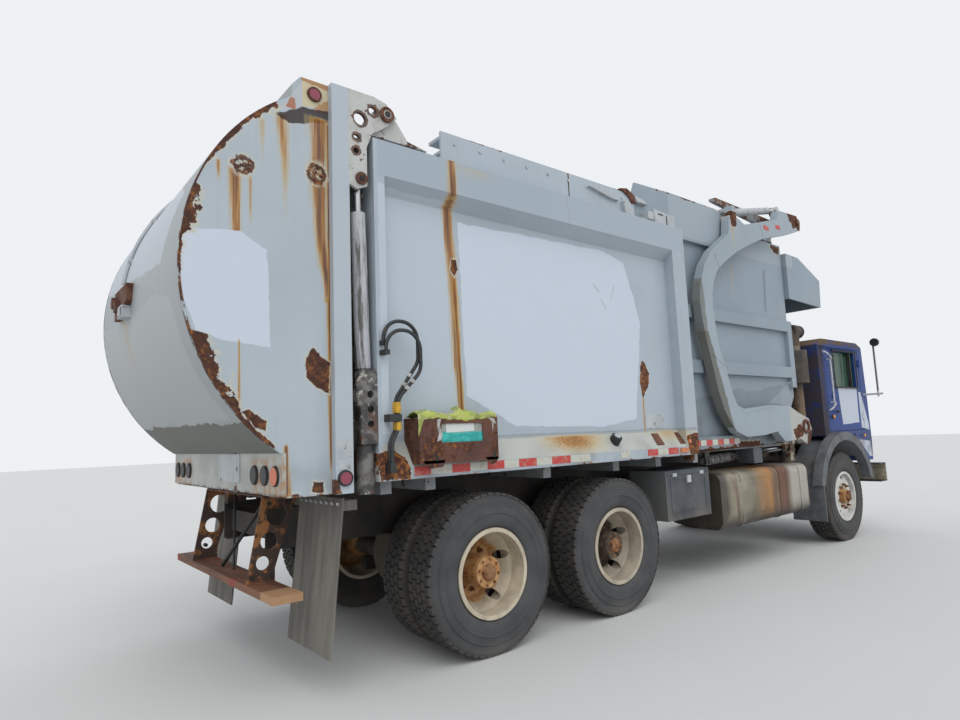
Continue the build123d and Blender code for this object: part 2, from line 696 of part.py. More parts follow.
with BuildPart() as lift_arms:
    for side in (1, -1):
        arm_y = on_side(side, arm_in, arm_out)
        side_plate([(along(x), z) for x, z in arm_back + arm_front], arm_y)
        cross_bar(along(fork_pin_x), fork_pin_z, arm_y, 40 + running_gap, Mode.SUBTRACT)
        lever_y = on_side(side, lift_y + 33, lift_y + 63)
        with BuildSketch(Plane.XZ.offset(-lever_y[1])) as lever:
            with Locations((pivot_x, pivot_z)):
                Circle(arm_tube_radius + 14)
            with Locations(lever_eye):
                Circle(lift_eye_radius)
            with BuildLine():
                Polyline(
                    *((middle[0] - half * lever_run.Y, middle[1] + half * lever_run.X)
                      for middle, half in (((pivot_x, pivot_z), 62), ((pivot_x, pivot_z), -62),
                                           (lever_eye, -34), (lever_eye, 34))),
                    close=True)
            make_face()
        extrude(to_extrude=lever.sketch, amount=30)
        cross_bar(*fork_foot, on_side(side, fork_cylinder_y - 32, arm_in), foot_pin_radius)
        side_plate(
            ((along(3540), 3740), (along(3640), 3740), (along(3625), 3865), (along(3555), 3865)), arm_y)
    cross_bar(pivot_x, pivot_z, (-arm_in, arm_in), arm_tube_radius)
save(lift_arms, "lift_arms")

# Hinge lugs, cylinder brackets and lock tubes beside the tailgate, the arms' bearings, and the feet
# of the lift cylinders
chin_slope = (hopper_front + 30 - chin_foot) / (1790 - floor_z - 30)
with BuildPart() as body_brackets:
    for side in (1, -1):
        # The wall behind the tailgate cylinder
        block((along(-body_rear), along(-post_rear)), on_side(side, recess_half - 2 * sheet, recess_half),
              (floor_z, roof_z - roof_thick))
        lug_y = on_side(side, lug_in, lug_out)
        side_plate(
            ((along(-post_rear), roof_z), (along(-post_rear), 3560), (pin_x - 60, pin_z + 40),
             (pin_x, pin_z + 75), (pin_x + 60, pin_z + 40), (along(-600), 3470), (along(-440), roof_z)),
            lug_y)
        cross_bar(pin_x, pin_z, on_side(side, lug_out, post_half + 18), gate_pin_radius)
        plate_y = on_side(side, hinge_plate_in, post_half)
        side_plate(
            ((along(-1010), 1900), (along(-post_rear), 1900), (along(-post_rear), 1450),
             (along(-1000), 1450), (along(-1000), 1640), (along(-1030), 1800)), plate_y)
        for hole_z in (1750, 1660, 1570):
            cross_bar(along(-935), hole_z, plate_y, 22, Mode.SUBTRACT)
        cross_bar(along(anchor_x), anchor_z, on_side(side, gate_cylinder_y - 32, hinge_plate_in),
                  foot_pin_radius)
        lock_y = side * (gate_cylinder_y - 10)
        bar((along(-942), lock_y, 1150), (along(-942), lock_y, 1440), 55)
        block((along(-980), along(-post_rear)), on_side(side, hinge_plate_in - 90, hinge_plate_in),
              (1440, 1560))
    # Bearings of the torque tube under the hopper
    for y in both_sides((bearing_in, bearing_out)):
        side_plate(
            ((pivot_x - 130, pivot_z - 130), (pivot_x + 130, pivot_z - 130), (pivot_x + 130, pivot_z + 160),
             (along(chin_foot) + chin_slope * (1700 - floor_z - 30) + 1, 1700),
             (along(chin_foot) + chin_slope * (1275 - floor_z - 30) + 1, 1275)), y)
        cross_bar(pivot_x, pivot_z, y, arm_tube_radius + running_gap, Mode.SUBTRACT)
    for side in (1, -1):
        block((pivot_x - 5, pivot_x + 100), on_side(side, bearing_in, bearing_out),
              (rail_top_z - 20, pivot_z - 130))
        for offset in (-lift_y - lift_eye_width / 2 - 22, -lift_y + lift_eye_width / 2 + 6):
            side_plate(
                ((foot_x - 70, floor_z), (foot_x - 40, foot_z - 34), (foot_x + 20, foot_z - 34),
                 (foot_x + 34, floor_z)),
                on_side(-side, offset, offset + 16))
        cross_bar(foot_x, foot_z, on_side(side, lift_y - 50, lift_y + 50), foot_pin_radius)
save(body_brackets, "body_brackets")

# Forks: a cross tube between the arm tips, two blades folded back over the hopper, two levers
fork_x, fork_z = along(fork_pin_x), fork_pin_z
fork_blade_y = arm_in - 230
fork_lever_x, fork_lever_z = fork_pin_x - 200, fork_pin_z + 170
with BuildPart() as fork_carriage:
    cross_bar(fork_x, fork_z, (-arm_in + 8, arm_in - 8), 70)
    for side in (1, -1):
        cross_bar(fork_x, fork_z, on_side(side, arm_in - 10, arm_out + 25), 40)
        blade_y = on_side(side, fork_blade_y - 25, fork_blade_y + 25)
        side_plate(
            ((fork_x + 60, fork_z - 60), (fork_x + 60, fork_z + 110), (fork_x - 1340, fork_z + 140),
             (fork_x - 1400, fork_z + 120), (fork_x - 1400, fork_z + 90), (fork_x - 500, fork_z + 15),
             (fork_x - 80, fork_z - 40)), blade_y)
        lever_y = on_side(side, fork_cylinder_y - 68, fork_cylinder_y - 38)
        side_plate(
            ((fork_x - 50, fork_z - 55), (fork_x + 60, fork_z + 30),
             (along(fork_lever_x) + 45, fork_lever_z + 30), (along(fork_lever_x), fork_lever_z + 50),
             (along(fork_lever_x) - 45, fork_lever_z), (along(fork_lever_x) - 20, fork_lever_z - 45)),
            lever_y)
save(fork_carriage, "fork_carriage")

cylinder_pair("fork_cylinder_barrels", "fork_cylinder_rods", fork_foot,
              (along(fork_lever_x), fork_lever_z), fork_cylinder_y, (1130, 82), (42, 22, 42, 60))

# Cab shell: hollow, with the windscreen, rear window and door openings cut
windscreen_low_z, windscreen_top_z, windscreen_half = 1820, 2400, 940
rear_glass_half, rear_glass_z = 520, (1950, 2350)
brow, screen_foot = (6985, 2490), (7020, 1800)
nose_high, nose_low = (7035, 1200), (7010, 930)
cab_outline = (
    (cab_rear, cab_low_z), (cab_rear, 2470), (cab_rear + 150, 2550), (6830, 2550), brow, screen_foot,
    nose_high, nose_low, (6660, 930), (6570, 1180), (6480, cab_low_z),
)
cab_inside = (
    (cab_rear + cab_wall, cab_low_z + cab_wall), (cab_rear + cab_wall, 2440), (cab_rear + 170, 2490),
    (6800, 2490), (brow[0] - 57, 2440), (screen_foot[0] - cab_wall, 1790), (nose_high[0] - cab_wall, 1200),
    (nose_low[0] - 55, 990), (6700, 990), (6610, 1240), (6520, cab_low_z + cab_wall),
)
door_low_z, door_top_z = 1352, 2420
door_pin_x, door_pin_y = along(door_front) + 3, cab_half + 2
door_pin_radius = 8
door_knuckle_radius = 16
door_knuckle_gap = 1
door_hinges = ((1500, 1560), (2230, 2290))
hump_top_z = 1640
beacon_x, beacon_z = 6150, 2580
with BuildPart() as cab_shell:
    side_plate([(along(x), z) for x, z in cab_outline], (-cab_half, cab_half))
    side_plate([(along(x), z) for x, z in cab_inside], (-cab_half + cab_wall, cab_half - cab_wall),
               Mode.SUBTRACT)
    for y in both_sides((cab_half - cab_wall - 10, cab_half + 10)):
        block((along(door_rear) - door_gap, along(door_front) + door_gap), y,
              (door_low_z - door_gap, door_top_z + door_gap), Mode.SUBTRACT)
    block((along(brow[0] - 100), along(nose_high[0] + 20)), (-windscreen_half, windscreen_half),
          (windscreen_low_z, windscreen_top_z), Mode.SUBTRACT)
    block((along(cab_rear) - 10, along(cab_rear + cab_wall) + 10), (-rear_glass_half, rear_glass_half),
          rear_glass_z, Mode.SUBTRACT)
    block((along(6400), along(nose_low[0] - 75)), (-rail_y - 30, rail_y + 30), (900, cab_low_z - 10),
          Mode.SUBTRACT)
    bar((along(beacon_x), 0, 2550), (along(beacon_x), 0, beacon_z), 75)
    for side in (1, -1):
        pin_y = side * door_pin_y
        for low, high in door_hinges:
            bar((door_pin_x, pin_y, low - door_knuckle_gap), (door_pin_x, pin_y, high + door_knuckle_gap),
                door_knuckle_radius + 2, Mode.SUBTRACT)
            bar((door_pin_x, pin_y, low - 20), (door_pin_x, pin_y, high + 20), door_pin_radius)
            for z in (low - 20, high + door_knuckle_gap):
                bar((door_pin_x, pin_y, z), (door_pin_x, pin_y, z + 20 - door_knuckle_gap),
                    door_knuckle_radius)
save(cab_shell, "cab_shell")

# Lamps of the cab: the beacon on the roof, headlamps and turn lamps across the front
nose_slope = (nose_high[0] - nose_low[0]) / (nose_high[1] - nose_low[1])
with BuildPart() as cab_lamps:
    bar((along(beacon_x), 0, beacon_z), (along(beacon_x), 0, beacon_z + 100), 60)
    for low_y, high_y in ((640, 940), (955, 1045)):
        for y in both_sides((low_y, high_y)):
            side_plate(
                [(along(nose_low[0]) + nose_slope * (z - nose_low[1]) + reach, z)
                 for reach, z in ((0, 1010), (32, 1010), (28, 1150), (0, 1150))], y)
save(cab_lamps, "cab_lamps")

glass_gap = 0.3
with BuildPart() as cab_glass:
    lean = (screen_foot[0] - brow[0]) / (brow[1] - screen_foot[1])
    pane_low_x, pane_high_x = (along(screen_foot[0] - 26 - lean * (z - screen_foot[1]))
                               for z in (windscreen_low_z, windscreen_top_z))
    side_plate(
        ((pane_low_x, windscreen_low_z + glass_gap), (pane_low_x + 8, windscreen_low_z + glass_gap),
         (pane_high_x + 8, windscreen_top_z - glass_gap), (pane_high_x, windscreen_top_z - glass_gap)),
        (-windscreen_half + glass_gap, windscreen_half - glass_gap))
    block((along(cab_rear + 26), along(cab_rear + 34)),
          (-rear_glass_half + glass_gap, rear_glass_half - glass_gap),
          (rear_glass_z[0] + glass_gap, rear_glass_z[1] - glass_gap))
save(cab_glass, "cab_glass")

# Cab inside: engine hump, two seats, dash, steering column and wheel
dash_half = cab_half - cab_wall - 20
with BuildPart() as cab_interior:
    floor_top = cab_low_z + cab_wall
    block((along(cab_rear + cab_wall), along(6450)), (-300, 300), (floor_top, hump_top_z))
    for side in (1, -1):
        y = on_side(side, 360, 880)
        block((along(5750), along(6200)), y, (floor_top, 1760))
        block((along(5680), along(5800)), y, (1760, 2330))
    side_plate(((along(6620), floor_top + 260), (along(6900), floor_top + 260), (along(6900), 1780),
                (along(6680), 1780)), (-dash_half, dash_half))
    for y in both_sides((dash_half, cab_half - cab_wall)):
        block((along(door_front + 16), along(6900)), y, (1640, 1740))
    bar((along(6680), 620, 1680), (along(6480), 620, 1860), 24)
    with Locations(Plane(origin=(along(6480), 620, 1860), z_dir=(-200, 0, 180))):
        Torus(215, 14)
        Box(420, 30, 16)
save(cab_interior, "cab_interior")

# Doors hinged at their front edge, each with its window
window_rear, window_front, window_low_z, window_top_z = 6000, 6700, 1930, 2400
door_out = cab_half - 2
door_in = cab_half - cab_wall + 4
for side, hand in ((1, "left"), (-1, "right")):
    with BuildPart() as door:
        y = on_side(side, door_in, door_out)
        block((along(door_rear), along(door_front)), y, (door_low_z, door_top_z))
        block((along(window_rear), along(window_front)), y, (window_low_z, window_top_z), Mode.SUBTRACT)
        pin_y = side * door_pin_y
        for low, high in door_hinges:
            bar((door_pin_x, pin_y, low - 22), (door_pin_x, pin_y, high + 22),
                door_knuckle_radius + 2, Mode.SUBTRACT)
            bar((door_pin_x, pin_y, low), (door_pin_x, pin_y, high), door_knuckle_radius)
            block((door_pin_x - 45, door_pin_x - 8), on_side(side, door_out - 8, door_out + 10),
                  (low, high))
            bar((door_pin_x, pin_y, low), (door_pin_x, pin_y, high),
                door_pin_radius + running_gap, Mode.SUBTRACT)
        block((along(door_rear + 50), along(door_rear + 200)), on_side(side, door_out, door_out + 12),
              (1770, 1830))
    save(door, f"door_{hand}")
    with BuildPart() as pane:
        block((along(window_rear) + glass_gap, along(window_front) - glass_gap),
              on_side(side, door_in + 20, door_in + 26),
              (window_low_z + glass_gap, window_top_z - glass_gap))
    save(pane, f"door_glass_{hand}")

# Front fenders with their flaps, and the step below each door
flare_x, flare_z = front_axle_x + 80, tyre_radius - 20
flare_outer, flare_low, flare_inner = 820, 757, 715
flare_half = body_half + 105
flare_cut_x = front_axle_x + 600
with BuildPart() as front_fenders:
    for side in (1, -1):
        for outer, inboard in ((flare_low, 830), (flare_outer, cab_half + 3)):
            with BuildSketch(Plane.XZ.offset(-max(side * inboard, side * flare_half))) as flare:
                with Locations((flare_x, flare_z)):
                    Circle(outer)
                    Circle(flare_inner, mode=Mode.SUBTRACT)
                    with Locations((0, -600)):
                        Rectangle(2000, 1600, mode=Mode.SUBTRACT)
                if outer == flare_low:
                    with Locations((flare_cut_x + 300, flare_z)):
                        Rectangle(600, 1600, mode=Mode.SUBTRACT)
            extrude(to_extrude=flare.sketch, amount=flare_half - inboard)
        block((flare_x - flare_low + 8, flare_x - flare_low + 30), on_side(side, 830, flare_half),
              (300, 790))
        bracket_z = flare_z + flare_low - 7
        bracket = ((rail_y, 960), (rail_y + 12, 960), (rail_y + 12, bracket_z - 24), (830, bracket_z - 24),
                   (830, bracket_z), (rail_y, bracket_z))
        long_section([(side * across, z) for across, z in bracket], (front_axle_x, front_axle_x + 120))
save(front_fenders, "front_fenders")

# Round mirrors on rods outside the lift arms, and the grab handles on the cab
mirror_y = arm_out + 80
mirror_x, mirror_z, mirror_radius = 6905, 2540, 55
handle_x, handle_low_z, handle_high_z = 5825, 1700, 2300
with BuildPart() as mirrors:
    for side in (1, -1):
        rod_y, round_y = side * mirror_y, side * (mirror_y + 28)
        bar((along(mirror_x), rod_y, 1790), (along(mirror_x), rod_y, mirror_z), 12)
        cross_bar(along(mirror_x), 1830, on_side(side, cab_half, mirror_y + 56), 14)
        bar((along(mirror_x), round_y, mirror_z), (along(mirror_x - 40), round_y, mirror_z), mirror_radius)
        handle_y = side * (cab_half + 45)
        bar((along(handle_x), handle_y, handle_low_z), (along(handle_x), handle_y, handle_high_z), 11)
        for z in (handle_low_z + 20, handle_high_z - 20):
            cross_bar(along(handle_x), z, on_side(side, cab_half, cab_half + 56), 11)
save(mirrors, "mirrors")

# Air cleaner stack behind the cab, right side
stack_x, stack_y = along(5320), -930
with BuildPart() as air_cleaner:
    bar((stack_x, stack_y, 1240), (stack_x, stack_y, 1970), 70)
    bar((stack_x, stack_y, 1970), (stack_x, stack_y, 2380), 150)
    bar((stack_x, stack_y, 2380), (stack_x, stack_y, 2640), 80)
    bar((stack_x - 60, stack_y, 2640), (stack_x + 170, stack_y, 2640), 85)
    block((stack_x - 60, stack_x + 60), (stack_y - 60, -rail_y + 60), (1210, 1240))
    block((stack_x - 60, stack_x + 60), (-rail_y, -rail_y + 60), (rail_top_z, 1210))
save(air_cleaner, "air_cleaner")

# Rear step: a plank below two tapered brackets with shrinking holes, hung from the frame's end
step_bracket_y = 586
step_plate = 12
step_head_z, step_top_z = 1150, 620
step_rear, step_front = -1470, -1290
bracket_holes = ((-1278, 1026, 68), (-1328, 868, 54), (-1368, 738, 42))
with BuildPart() as rear_step:
    for side in (1, -1):
        y = on_side(side, step_bracket_y, step_bracket_y + step_plate)
        side_plate(
            ((along(-1140), step_head_z), (along(-1370), step_head_z), (along(step_rear), step_top_z),
             (along(step_front), step_top_z), (along(step_front), step_top_z + 80)), y)
        for hole_x, hole_z, radius in bracket_holes:
            cross_bar(along(hole_x), hole_z, y, radius, Mode.SUBTRACT)
        block((frame_rear, along(-1150)), on_side(side, rail_y - rail_flange, rail_y),
              (rail_top_z, step_head_z - step_plate))
    block((along(-1370), along(-1140)), (-step_bracket_y, step_bracket_y),
          (step_head_z - step_plate, step_head_z))
    block((along(step_rear), along(step_front)), (-1030, 1030), (step_top_z - 46, step_top_z))
save(rear_step, "rear_step")

# Mudflaps behind the tandem, hung from the floor and swept back at the bottom
flap_in, flap_out = 560, gate_half
flap_head, flap_foot = (-1105, floor_z - 80), (-1195, 250)
with BuildPart() as mudflaps:
    for side in (1, -1):
        side_plate(
            ((along(flap_head[0]) + 12, flap_head[1]), (along(flap_head[0]), flap_head[1]),
             (along(flap_foot[0]), flap_foot[1]), (along(flap_foot[0]) + 12, flap_foot[1])),
            on_side(side, flap_in, flap_out))
        block((along(flap_head[0]) + 5, along(-980)), on_side(side, rail_y, body_half - 10),
              (floor_z - 160, floor_z - 100))
        block((along(-1028), along(-980)), on_side(side, 700, 760), (floor_z - 100, floor_z))
save(mudflaps, "mudflaps")

# Spill kit holder on the right sill and side sheet, and the bag stood in it
kit_rear, kit_front = -640, 0
kit_out, kit_back = post_half + 80, post_half + 4
kit_low_z, kit_top_z = 1310, 1600
kit_window_z = (1440, 1560)
bag_top_z = 1680
kit_plate = 6
sill_slope = (post_half - body_half) / (skirt_top_z - skirt_edge_z)
with BuildPart() as spill_kit_holder:
    block((along(kit_rear), along(kit_front)), (-kit_out, -kit_out + kit_plate), (kit_low_z, kit_top_z))
    block((along(kit_rear + 170), along(kit_front - 130)), (-kit_out, -kit_out + kit_plate),
          kit_window_z, Mode.SUBTRACT)
    block((along(kit_rear), along(kit_front)), (-kit_out, -kit_back), (kit_low_z, kit_low_z + 12))
    block((along(kit_rear), along(kit_front)), (-kit_back, -kit_back + 4), (kit_low_z, kit_top_z))
    end_plate = ((kit_out, kit_low_z), (post_half - (kit_low_z - skirt_edge_z) * sill_slope, kit_low_z),
                 (body_half, skirt_top_z), (body_half, kit_top_z), (kit_out, kit_top_z))
    for station in (kit_rear, kit_front - kit_plate):
        long_section([(-across, z) for across, z in end_plate],
                     (along(station), along(station + kit_plate)))
save(spill_kit_holder, "spill_kit_holder")
kit_seat = 0.3
with BuildPart() as spill_kit_bag:
    block((along(kit_rear + kit_plate) + kit_seat, along(kit_front - kit_plate) - kit_seat),
          (-kit_out + kit_plate + kit_seat, -kit_back - kit_seat), (kit_low_z + 12 + kit_seat, bag_top_z))
save(spill_kit_bag, "spill_kit_bag")

# Hydraulic hoses beside each rear post, in an arch from the cylinder's port down to the sill
hose_radius = 12
hose_bend = 120
hose_y = post_half + 22
hose_step = 30
arch_drop = 62
hose_route = ((-850, 2085), (-850, 2215), (-598, 2215), (-598, 1960), (-775, 1720), (-775, 1540),
              (-822, 1450), (-822, 1330))
hose_blocks = ((-845, -805, 1270, 1330), (-845, -758, 1580, 1625))
with BuildPart() as hydraulic_hoses:
    for side in (1, -1):
        for step, drop in ((0, 0), (hose_step, arch_drop)):
            route = [(along(station), z - drop * (z > 1800)) for station, z in hose_route]
            hose(route, side * (hose_y + step), hose_bend, hose_radius)
            start_z = hose_route[0][1] - drop
            block((along(-868), along(-832)), on_side(side, post_half, hose_y + step + 16),
                  (start_z - 30, start_z))
        outer_y = hose_y + hose_step + 18
        for rear, front, low, high in hose_blocks:
            block((along(rear), along(front)), on_side(side, post_half, outer_y), (low, high))
save(hydraulic_hoses, "hydraulic_hoses")
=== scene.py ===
from math import cos, pi, radians, sin

import bmesh
import bpy
from mathutils import Matrix, Vector


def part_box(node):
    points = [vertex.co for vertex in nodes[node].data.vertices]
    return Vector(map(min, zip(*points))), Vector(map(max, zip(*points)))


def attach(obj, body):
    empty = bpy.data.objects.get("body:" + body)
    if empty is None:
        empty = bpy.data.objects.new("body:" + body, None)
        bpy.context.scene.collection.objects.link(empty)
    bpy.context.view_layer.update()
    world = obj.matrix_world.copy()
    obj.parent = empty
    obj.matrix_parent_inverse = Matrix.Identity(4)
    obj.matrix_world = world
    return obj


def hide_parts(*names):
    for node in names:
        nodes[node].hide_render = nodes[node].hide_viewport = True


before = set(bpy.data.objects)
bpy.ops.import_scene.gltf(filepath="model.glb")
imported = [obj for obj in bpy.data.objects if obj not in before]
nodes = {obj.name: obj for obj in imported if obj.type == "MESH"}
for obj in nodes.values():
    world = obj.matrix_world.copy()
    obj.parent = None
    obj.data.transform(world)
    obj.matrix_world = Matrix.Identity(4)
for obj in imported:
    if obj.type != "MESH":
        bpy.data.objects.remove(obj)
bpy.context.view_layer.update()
print("frame loaded")

# Places along the truck are given in metres ahead of the rearmost axle, as in station(1.34)
rearAxleX = sum(corner.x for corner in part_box("tyres_rear_left")) / 2
sides = (1, -1)
hands = {"left": 1, "right": -1}


def station(x):
    return rearAxleX + x


axleX = {"rear": station(0), "mid": station(1.34), "front": station(5.78)}
tyreRadius = 0.54
sideFace = 1.2195  # a little inside the outer faces of the sill, the posts and the arms, across the truck
plateBand = (1.164, 1.168)  # tells the tailgate's side plates from its curved skin, across the truck
gateArc = {"x": station(-0.752), "z": 2.46, "radius": 1.268}


# Nodes of shaders and geometry
def addNode(tree, kind, settings=None, sockets=None):
    # Settings such as an operation or a ramp's stops come first, then the sockets' values or links
    node = tree.nodes.new(kind)
    for key, value in (settings or {}).items():
        if key == "stops":
            ramp = node.color_ramp
            while len(ramp.elements) < len(value):
                ramp.elements.new(0.5)
            for element, (place, colour) in zip(ramp.elements, value):
                element.position = place
                element.color = (*colour, 1)
        else:
            setattr(node, key, value)
    for key, value in (sockets or {}).items():
        if isinstance(value, Flow):
            tree.links.new(value.socket, node.inputs[key])
        elif value is not None:
            node.inputs[key].default_value = value
    return node


def made(tree, kind, settings=None, sockets=None, out=0):
    # The output of a new node
    return Flow(tree, addNode(tree, kind, settings, sockets).outputs[out])


class Flow:
    # One output socket, with the maths that expressions on it need
    def __init__(self, tree, socket):
        self.tree = tree
        self.socket = socket

    def maths(self, operation, *others, clamp=False):
        values = dict(enumerate((self, *others)))
        return made(self.tree, "ShaderNodeMath", {"operation": operation, "use_clamp": clamp}, values)

    def __add__(self, other):
        return self.maths("ADD", other)

    def __mul__(self, other):
        return self.maths("MULTIPLY", other)

    def __sub__(self, other):
        return self.maths("SUBTRACT", other)

    def __rsub__(self, other):
        return (self * -1).maths("ADD", other)

    def __truediv__(self, other):
        return self.maths("DIVIDE", other)

    __radd__ = __add__
    __rmul__ = __mul__

    def clamped(self):
        return self.maths("ADD", 0.0, clamp=True)

    def larger(self, other):
        return self.maths("MAXIMUM", other)

    def smaller(self, other):
        return self.maths("MINIMUM", other)

    def rise(self, low, high):
        # Goes smoothly from 0 at low to 1 at high
        return made(self.tree, "ShaderNodeMapRange", {"interpolation_type": "SMOOTHSTEP"},
                    {0: self, 1: low, 2: high, 3: 0.0, 4: 1.0})

    def fall(self, low, high):
        return 1 - self.rise(low, high)


class Finish:
    # A material that is built from noises and masks on the piece's own coordinates
    def __init__(self, name):
        self.material = bpy.data.materials.new(name)
        self.material.use_nodes = True
        self.tree = self.material.node_tree
        self.tree.nodes.clear()
        self.place = self.make("ShaderNodeTexCoord", out="Object")
        split = addNode(self.tree, "ShaderNodeSeparateXYZ", None, {0: self.place})
        self.x, self.y, self.z = (Flow(self.tree, socket) for socket in split.outputs)
        self.seed = 0.0

    def make(self, kind, settings=None, sockets=None, out=0):
        return made(self.tree, kind, settings, sockets, out)

    def noise(self, scale, detail=4.0, stretch=(1, 1, 1), rough=0.55):
        # Each noise of a material lies elsewhere, so that no two look alike
        self.seed += 3.7
        vector = self.make("ShaderNodeMapping", None,
                           {"Vector": self.place, "Location": (self.seed, self.seed * 0.6, self.seed * 1.3),
                            "Scale": stretch})
        return self.make("ShaderNodeTexNoise", None,
                         {"Vector": vector, "Scale": scale, "Detail": detail, "Roughness": rough})

    def cells(self, scale):
        return self.make("ShaderNodeTexVoronoi", {"feature": "DISTANCE_TO_EDGE"},
                         {"Vector": self.place, "Scale": scale})

    def ramp(self, value, stops):
        return self.make("ShaderNodeValToRGB", {"stops": stops}, {0: value})

    def mix(self, mask, low, high):
        colours = {0: mask}
        for key, value in ((6, low), (7, high)):
            colours[key] = value if isinstance(value, Flow) else (*value, 1)
        return self.make("ShaderNodeMix", {"data_type": "RGBA"}, colours, out=2)

    def reach(self, x, z):
        # Distance across the truck's side from a point
        dx = self.x - x
        dz = self.z - z
        return (dx * dx + dz * dz).maths("SQRT")

    def across(self, low, high):
        # Goes from 0 to 1 between two distances from the truck's middle line
        return (self.y * self.y).rise(low * low, high * high)

    def hand(self, side):
        return (self.y * side).rise(0.5, 0.52)

    def depth(self, points, ragged=0.0, axes=("x", "z"), grain=7):
        # How deep a point lies inside a convex outline, whose edges are torn by ragged metres
        across, up = (getattr(self, axis) for axis in axes)
        if ragged:
            across = across + (self.noise(grain, 6, rough=0.68) - 0.5) * ragged
            up = up + (self.noise(grain, 6, rough=0.68) - 0.5) * ragged
        corners = tuple(zip(points, (*points[1:], points[0])))
        turn = 1 if sum(a[0] * b[1] - b[0] * a[1] for a, b in corners) > 0 else -1
        inside = None
        for start, end in corners:
            run = (Vector(end) - Vector(start)).normalized() * turn
            part = up * run.x - across * run.y + (start[0] * run.y - start[1] * run.x)
            inside = part if inside is None else inside.smaller(part)
        return inside

    def patch(self, spec):
        mask = self.depth(spec["points"], spec.get("ragged", 0.05), spec.get("axes", ("x", "z")),
                          spec.get("grain", 7)).rise(-0.003, 0.003)
        if "side" in spec:
            mask = mask * self.hand(spec["side"])
        if "band" in spec:
            mask = mask * self.across(*spec["band"])
        return mask

    def streak(self, run):
        # A run of rust down a wall, wide at its top and thin below
        (topX, topZ, topHalf), (lowX, lowZ, lowHalf) = run["top"], run["low"]
        place = getattr(self, run.get("axis", "x"))
        down = ((topZ - self.z) / (topZ - lowZ)).clamped()
        half = down.maths("POWER", run.get("taper", 0.7)) * (lowHalf - topHalf) + topHalf
        wander = (self.noise(2.2, 3, (0.3, 0.3, 1)) - 0.5) * (topHalf * 0.8)
        offset = (place + wander - topX - down * (lowX - topX)).maths("ABSOLUTE") / half
        threads = self.noise(95, 3, (1, 1, 0.025), 0.6)
        body = (offset + (threads - 0.5) * 1.5).fall(0.0, 1.35)
        ends = self.z.fall(topZ - 0.02, topZ + 0.01)
        ends = ends * self.z.rise(lowZ - 0.01, lowZ + (topZ - lowZ) * run.get("fade", 0.2))
        mask = body * ends * run.get("strength", 1.0)
        if "side" in run:
            mask = mask * self.hand(run["side"])
        return mask

    def done(self, colour, roughness, bump=None, depth=0.002, metallic=0.0, specular=0.5, coat=0.0,
             alpha=1.0):
        # Bump is the height that the surface follows, and depth says how high it goes in metres
        sockets = {"Base Color": colour, "Roughness": roughness, "Metallic": metallic, "Alpha": alpha,
                   "Specular IOR Level": specular, "Coat Weight": coat}
        if bump is not None:
            sockets["Normal"] = self.make("ShaderNodeBump", None,
                                          {"Height": bump, "Distance": depth, "Strength": 1.0})
        shader = self.make("ShaderNodeBsdfPrincipled", None, sockets)
        addNode(self.tree, "ShaderNodeOutputMaterial", None, {"Surface": shader})
        return self.material


# Colours that several finishes share, linear
palette = {
    "paint": (0.345, 0.395, 0.43),
    "primer": (0.53, 0.58, 0.66),
    "rustDark": (0.040, 0.017, 0.013),
    "rustBrown": (0.085, 0.032, 0.018),
    "rustOrange": (0.33, 0.13, 0.033),
    "streakPale": (0.48, 0.41, 0.23),
    "streakOchre": (0.46, 0.29, 0.08),
    "streakOrange": (0.34, 0.15, 0.032),
    "streakDark": (0.14, 0.055, 0.022),
    "bare": (0.52, 0.49, 0.38),
    "grime": (0.10, 0.09, 0.075),
    "dust": (0.17, 0.125, 0.08),
    "black": (0.018, 0.018, 0.019),
    "cream": (0.50, 0.46, 0.36),
}


def joined(first, second):
    # The larger of two masks, the first of which may not be there yet
    return second if first is None else first.larger(second)


def rustTone(finish, light=0.0):
    grain = finish.noise(30, 6, rough=0.7) + light
    return finish.ramp(grain, ((0.34, palette["rustDark"]), (0.53, palette["rustBrown"]),
                               (0.70, palette["rustOrange"])))


def bareMasks(finish, look):
    # Paint that is gone down to brown metal, with a pale rim
    for spec in look.get("bare", ()):
        inside = finish.depth(spec["points"], spec.get("ragged", 0.08), grain=11)
        side = finish.hand(spec["side"]) if "side" in spec else 1
        yield inside.rise(-0.002, 0.002) * side, inside.rise(-0.016, -0.004) * side * spec.get("rim", 0.75)


def scarMasks(finish, look):
    # Blisters: a torn ring of rust specks round bare paint
    for spec in look.get("scars", ()):
        dx = (finish.x - spec["at"][0]) / spec["size"][0]
        dz = (finish.z - spec["at"][1]) / spec["size"][1]
        away = (dx * dx + dz * dz).maths("SQRT") + (finish.noise(26, 5, rough=0.7) - 0.5) * 1.1
        specks = finish.noise(48, 5, rough=0.75).rise(0.47, 0.51)
        side = finish.hand(spec["side"])
        mask = away.fall(0.95, 1.05) * specks.larger(away.rise(0.55, 0.7) * 0.9) * side
        yield mask, away.fall(1.1, 1.5) * side * 0.7


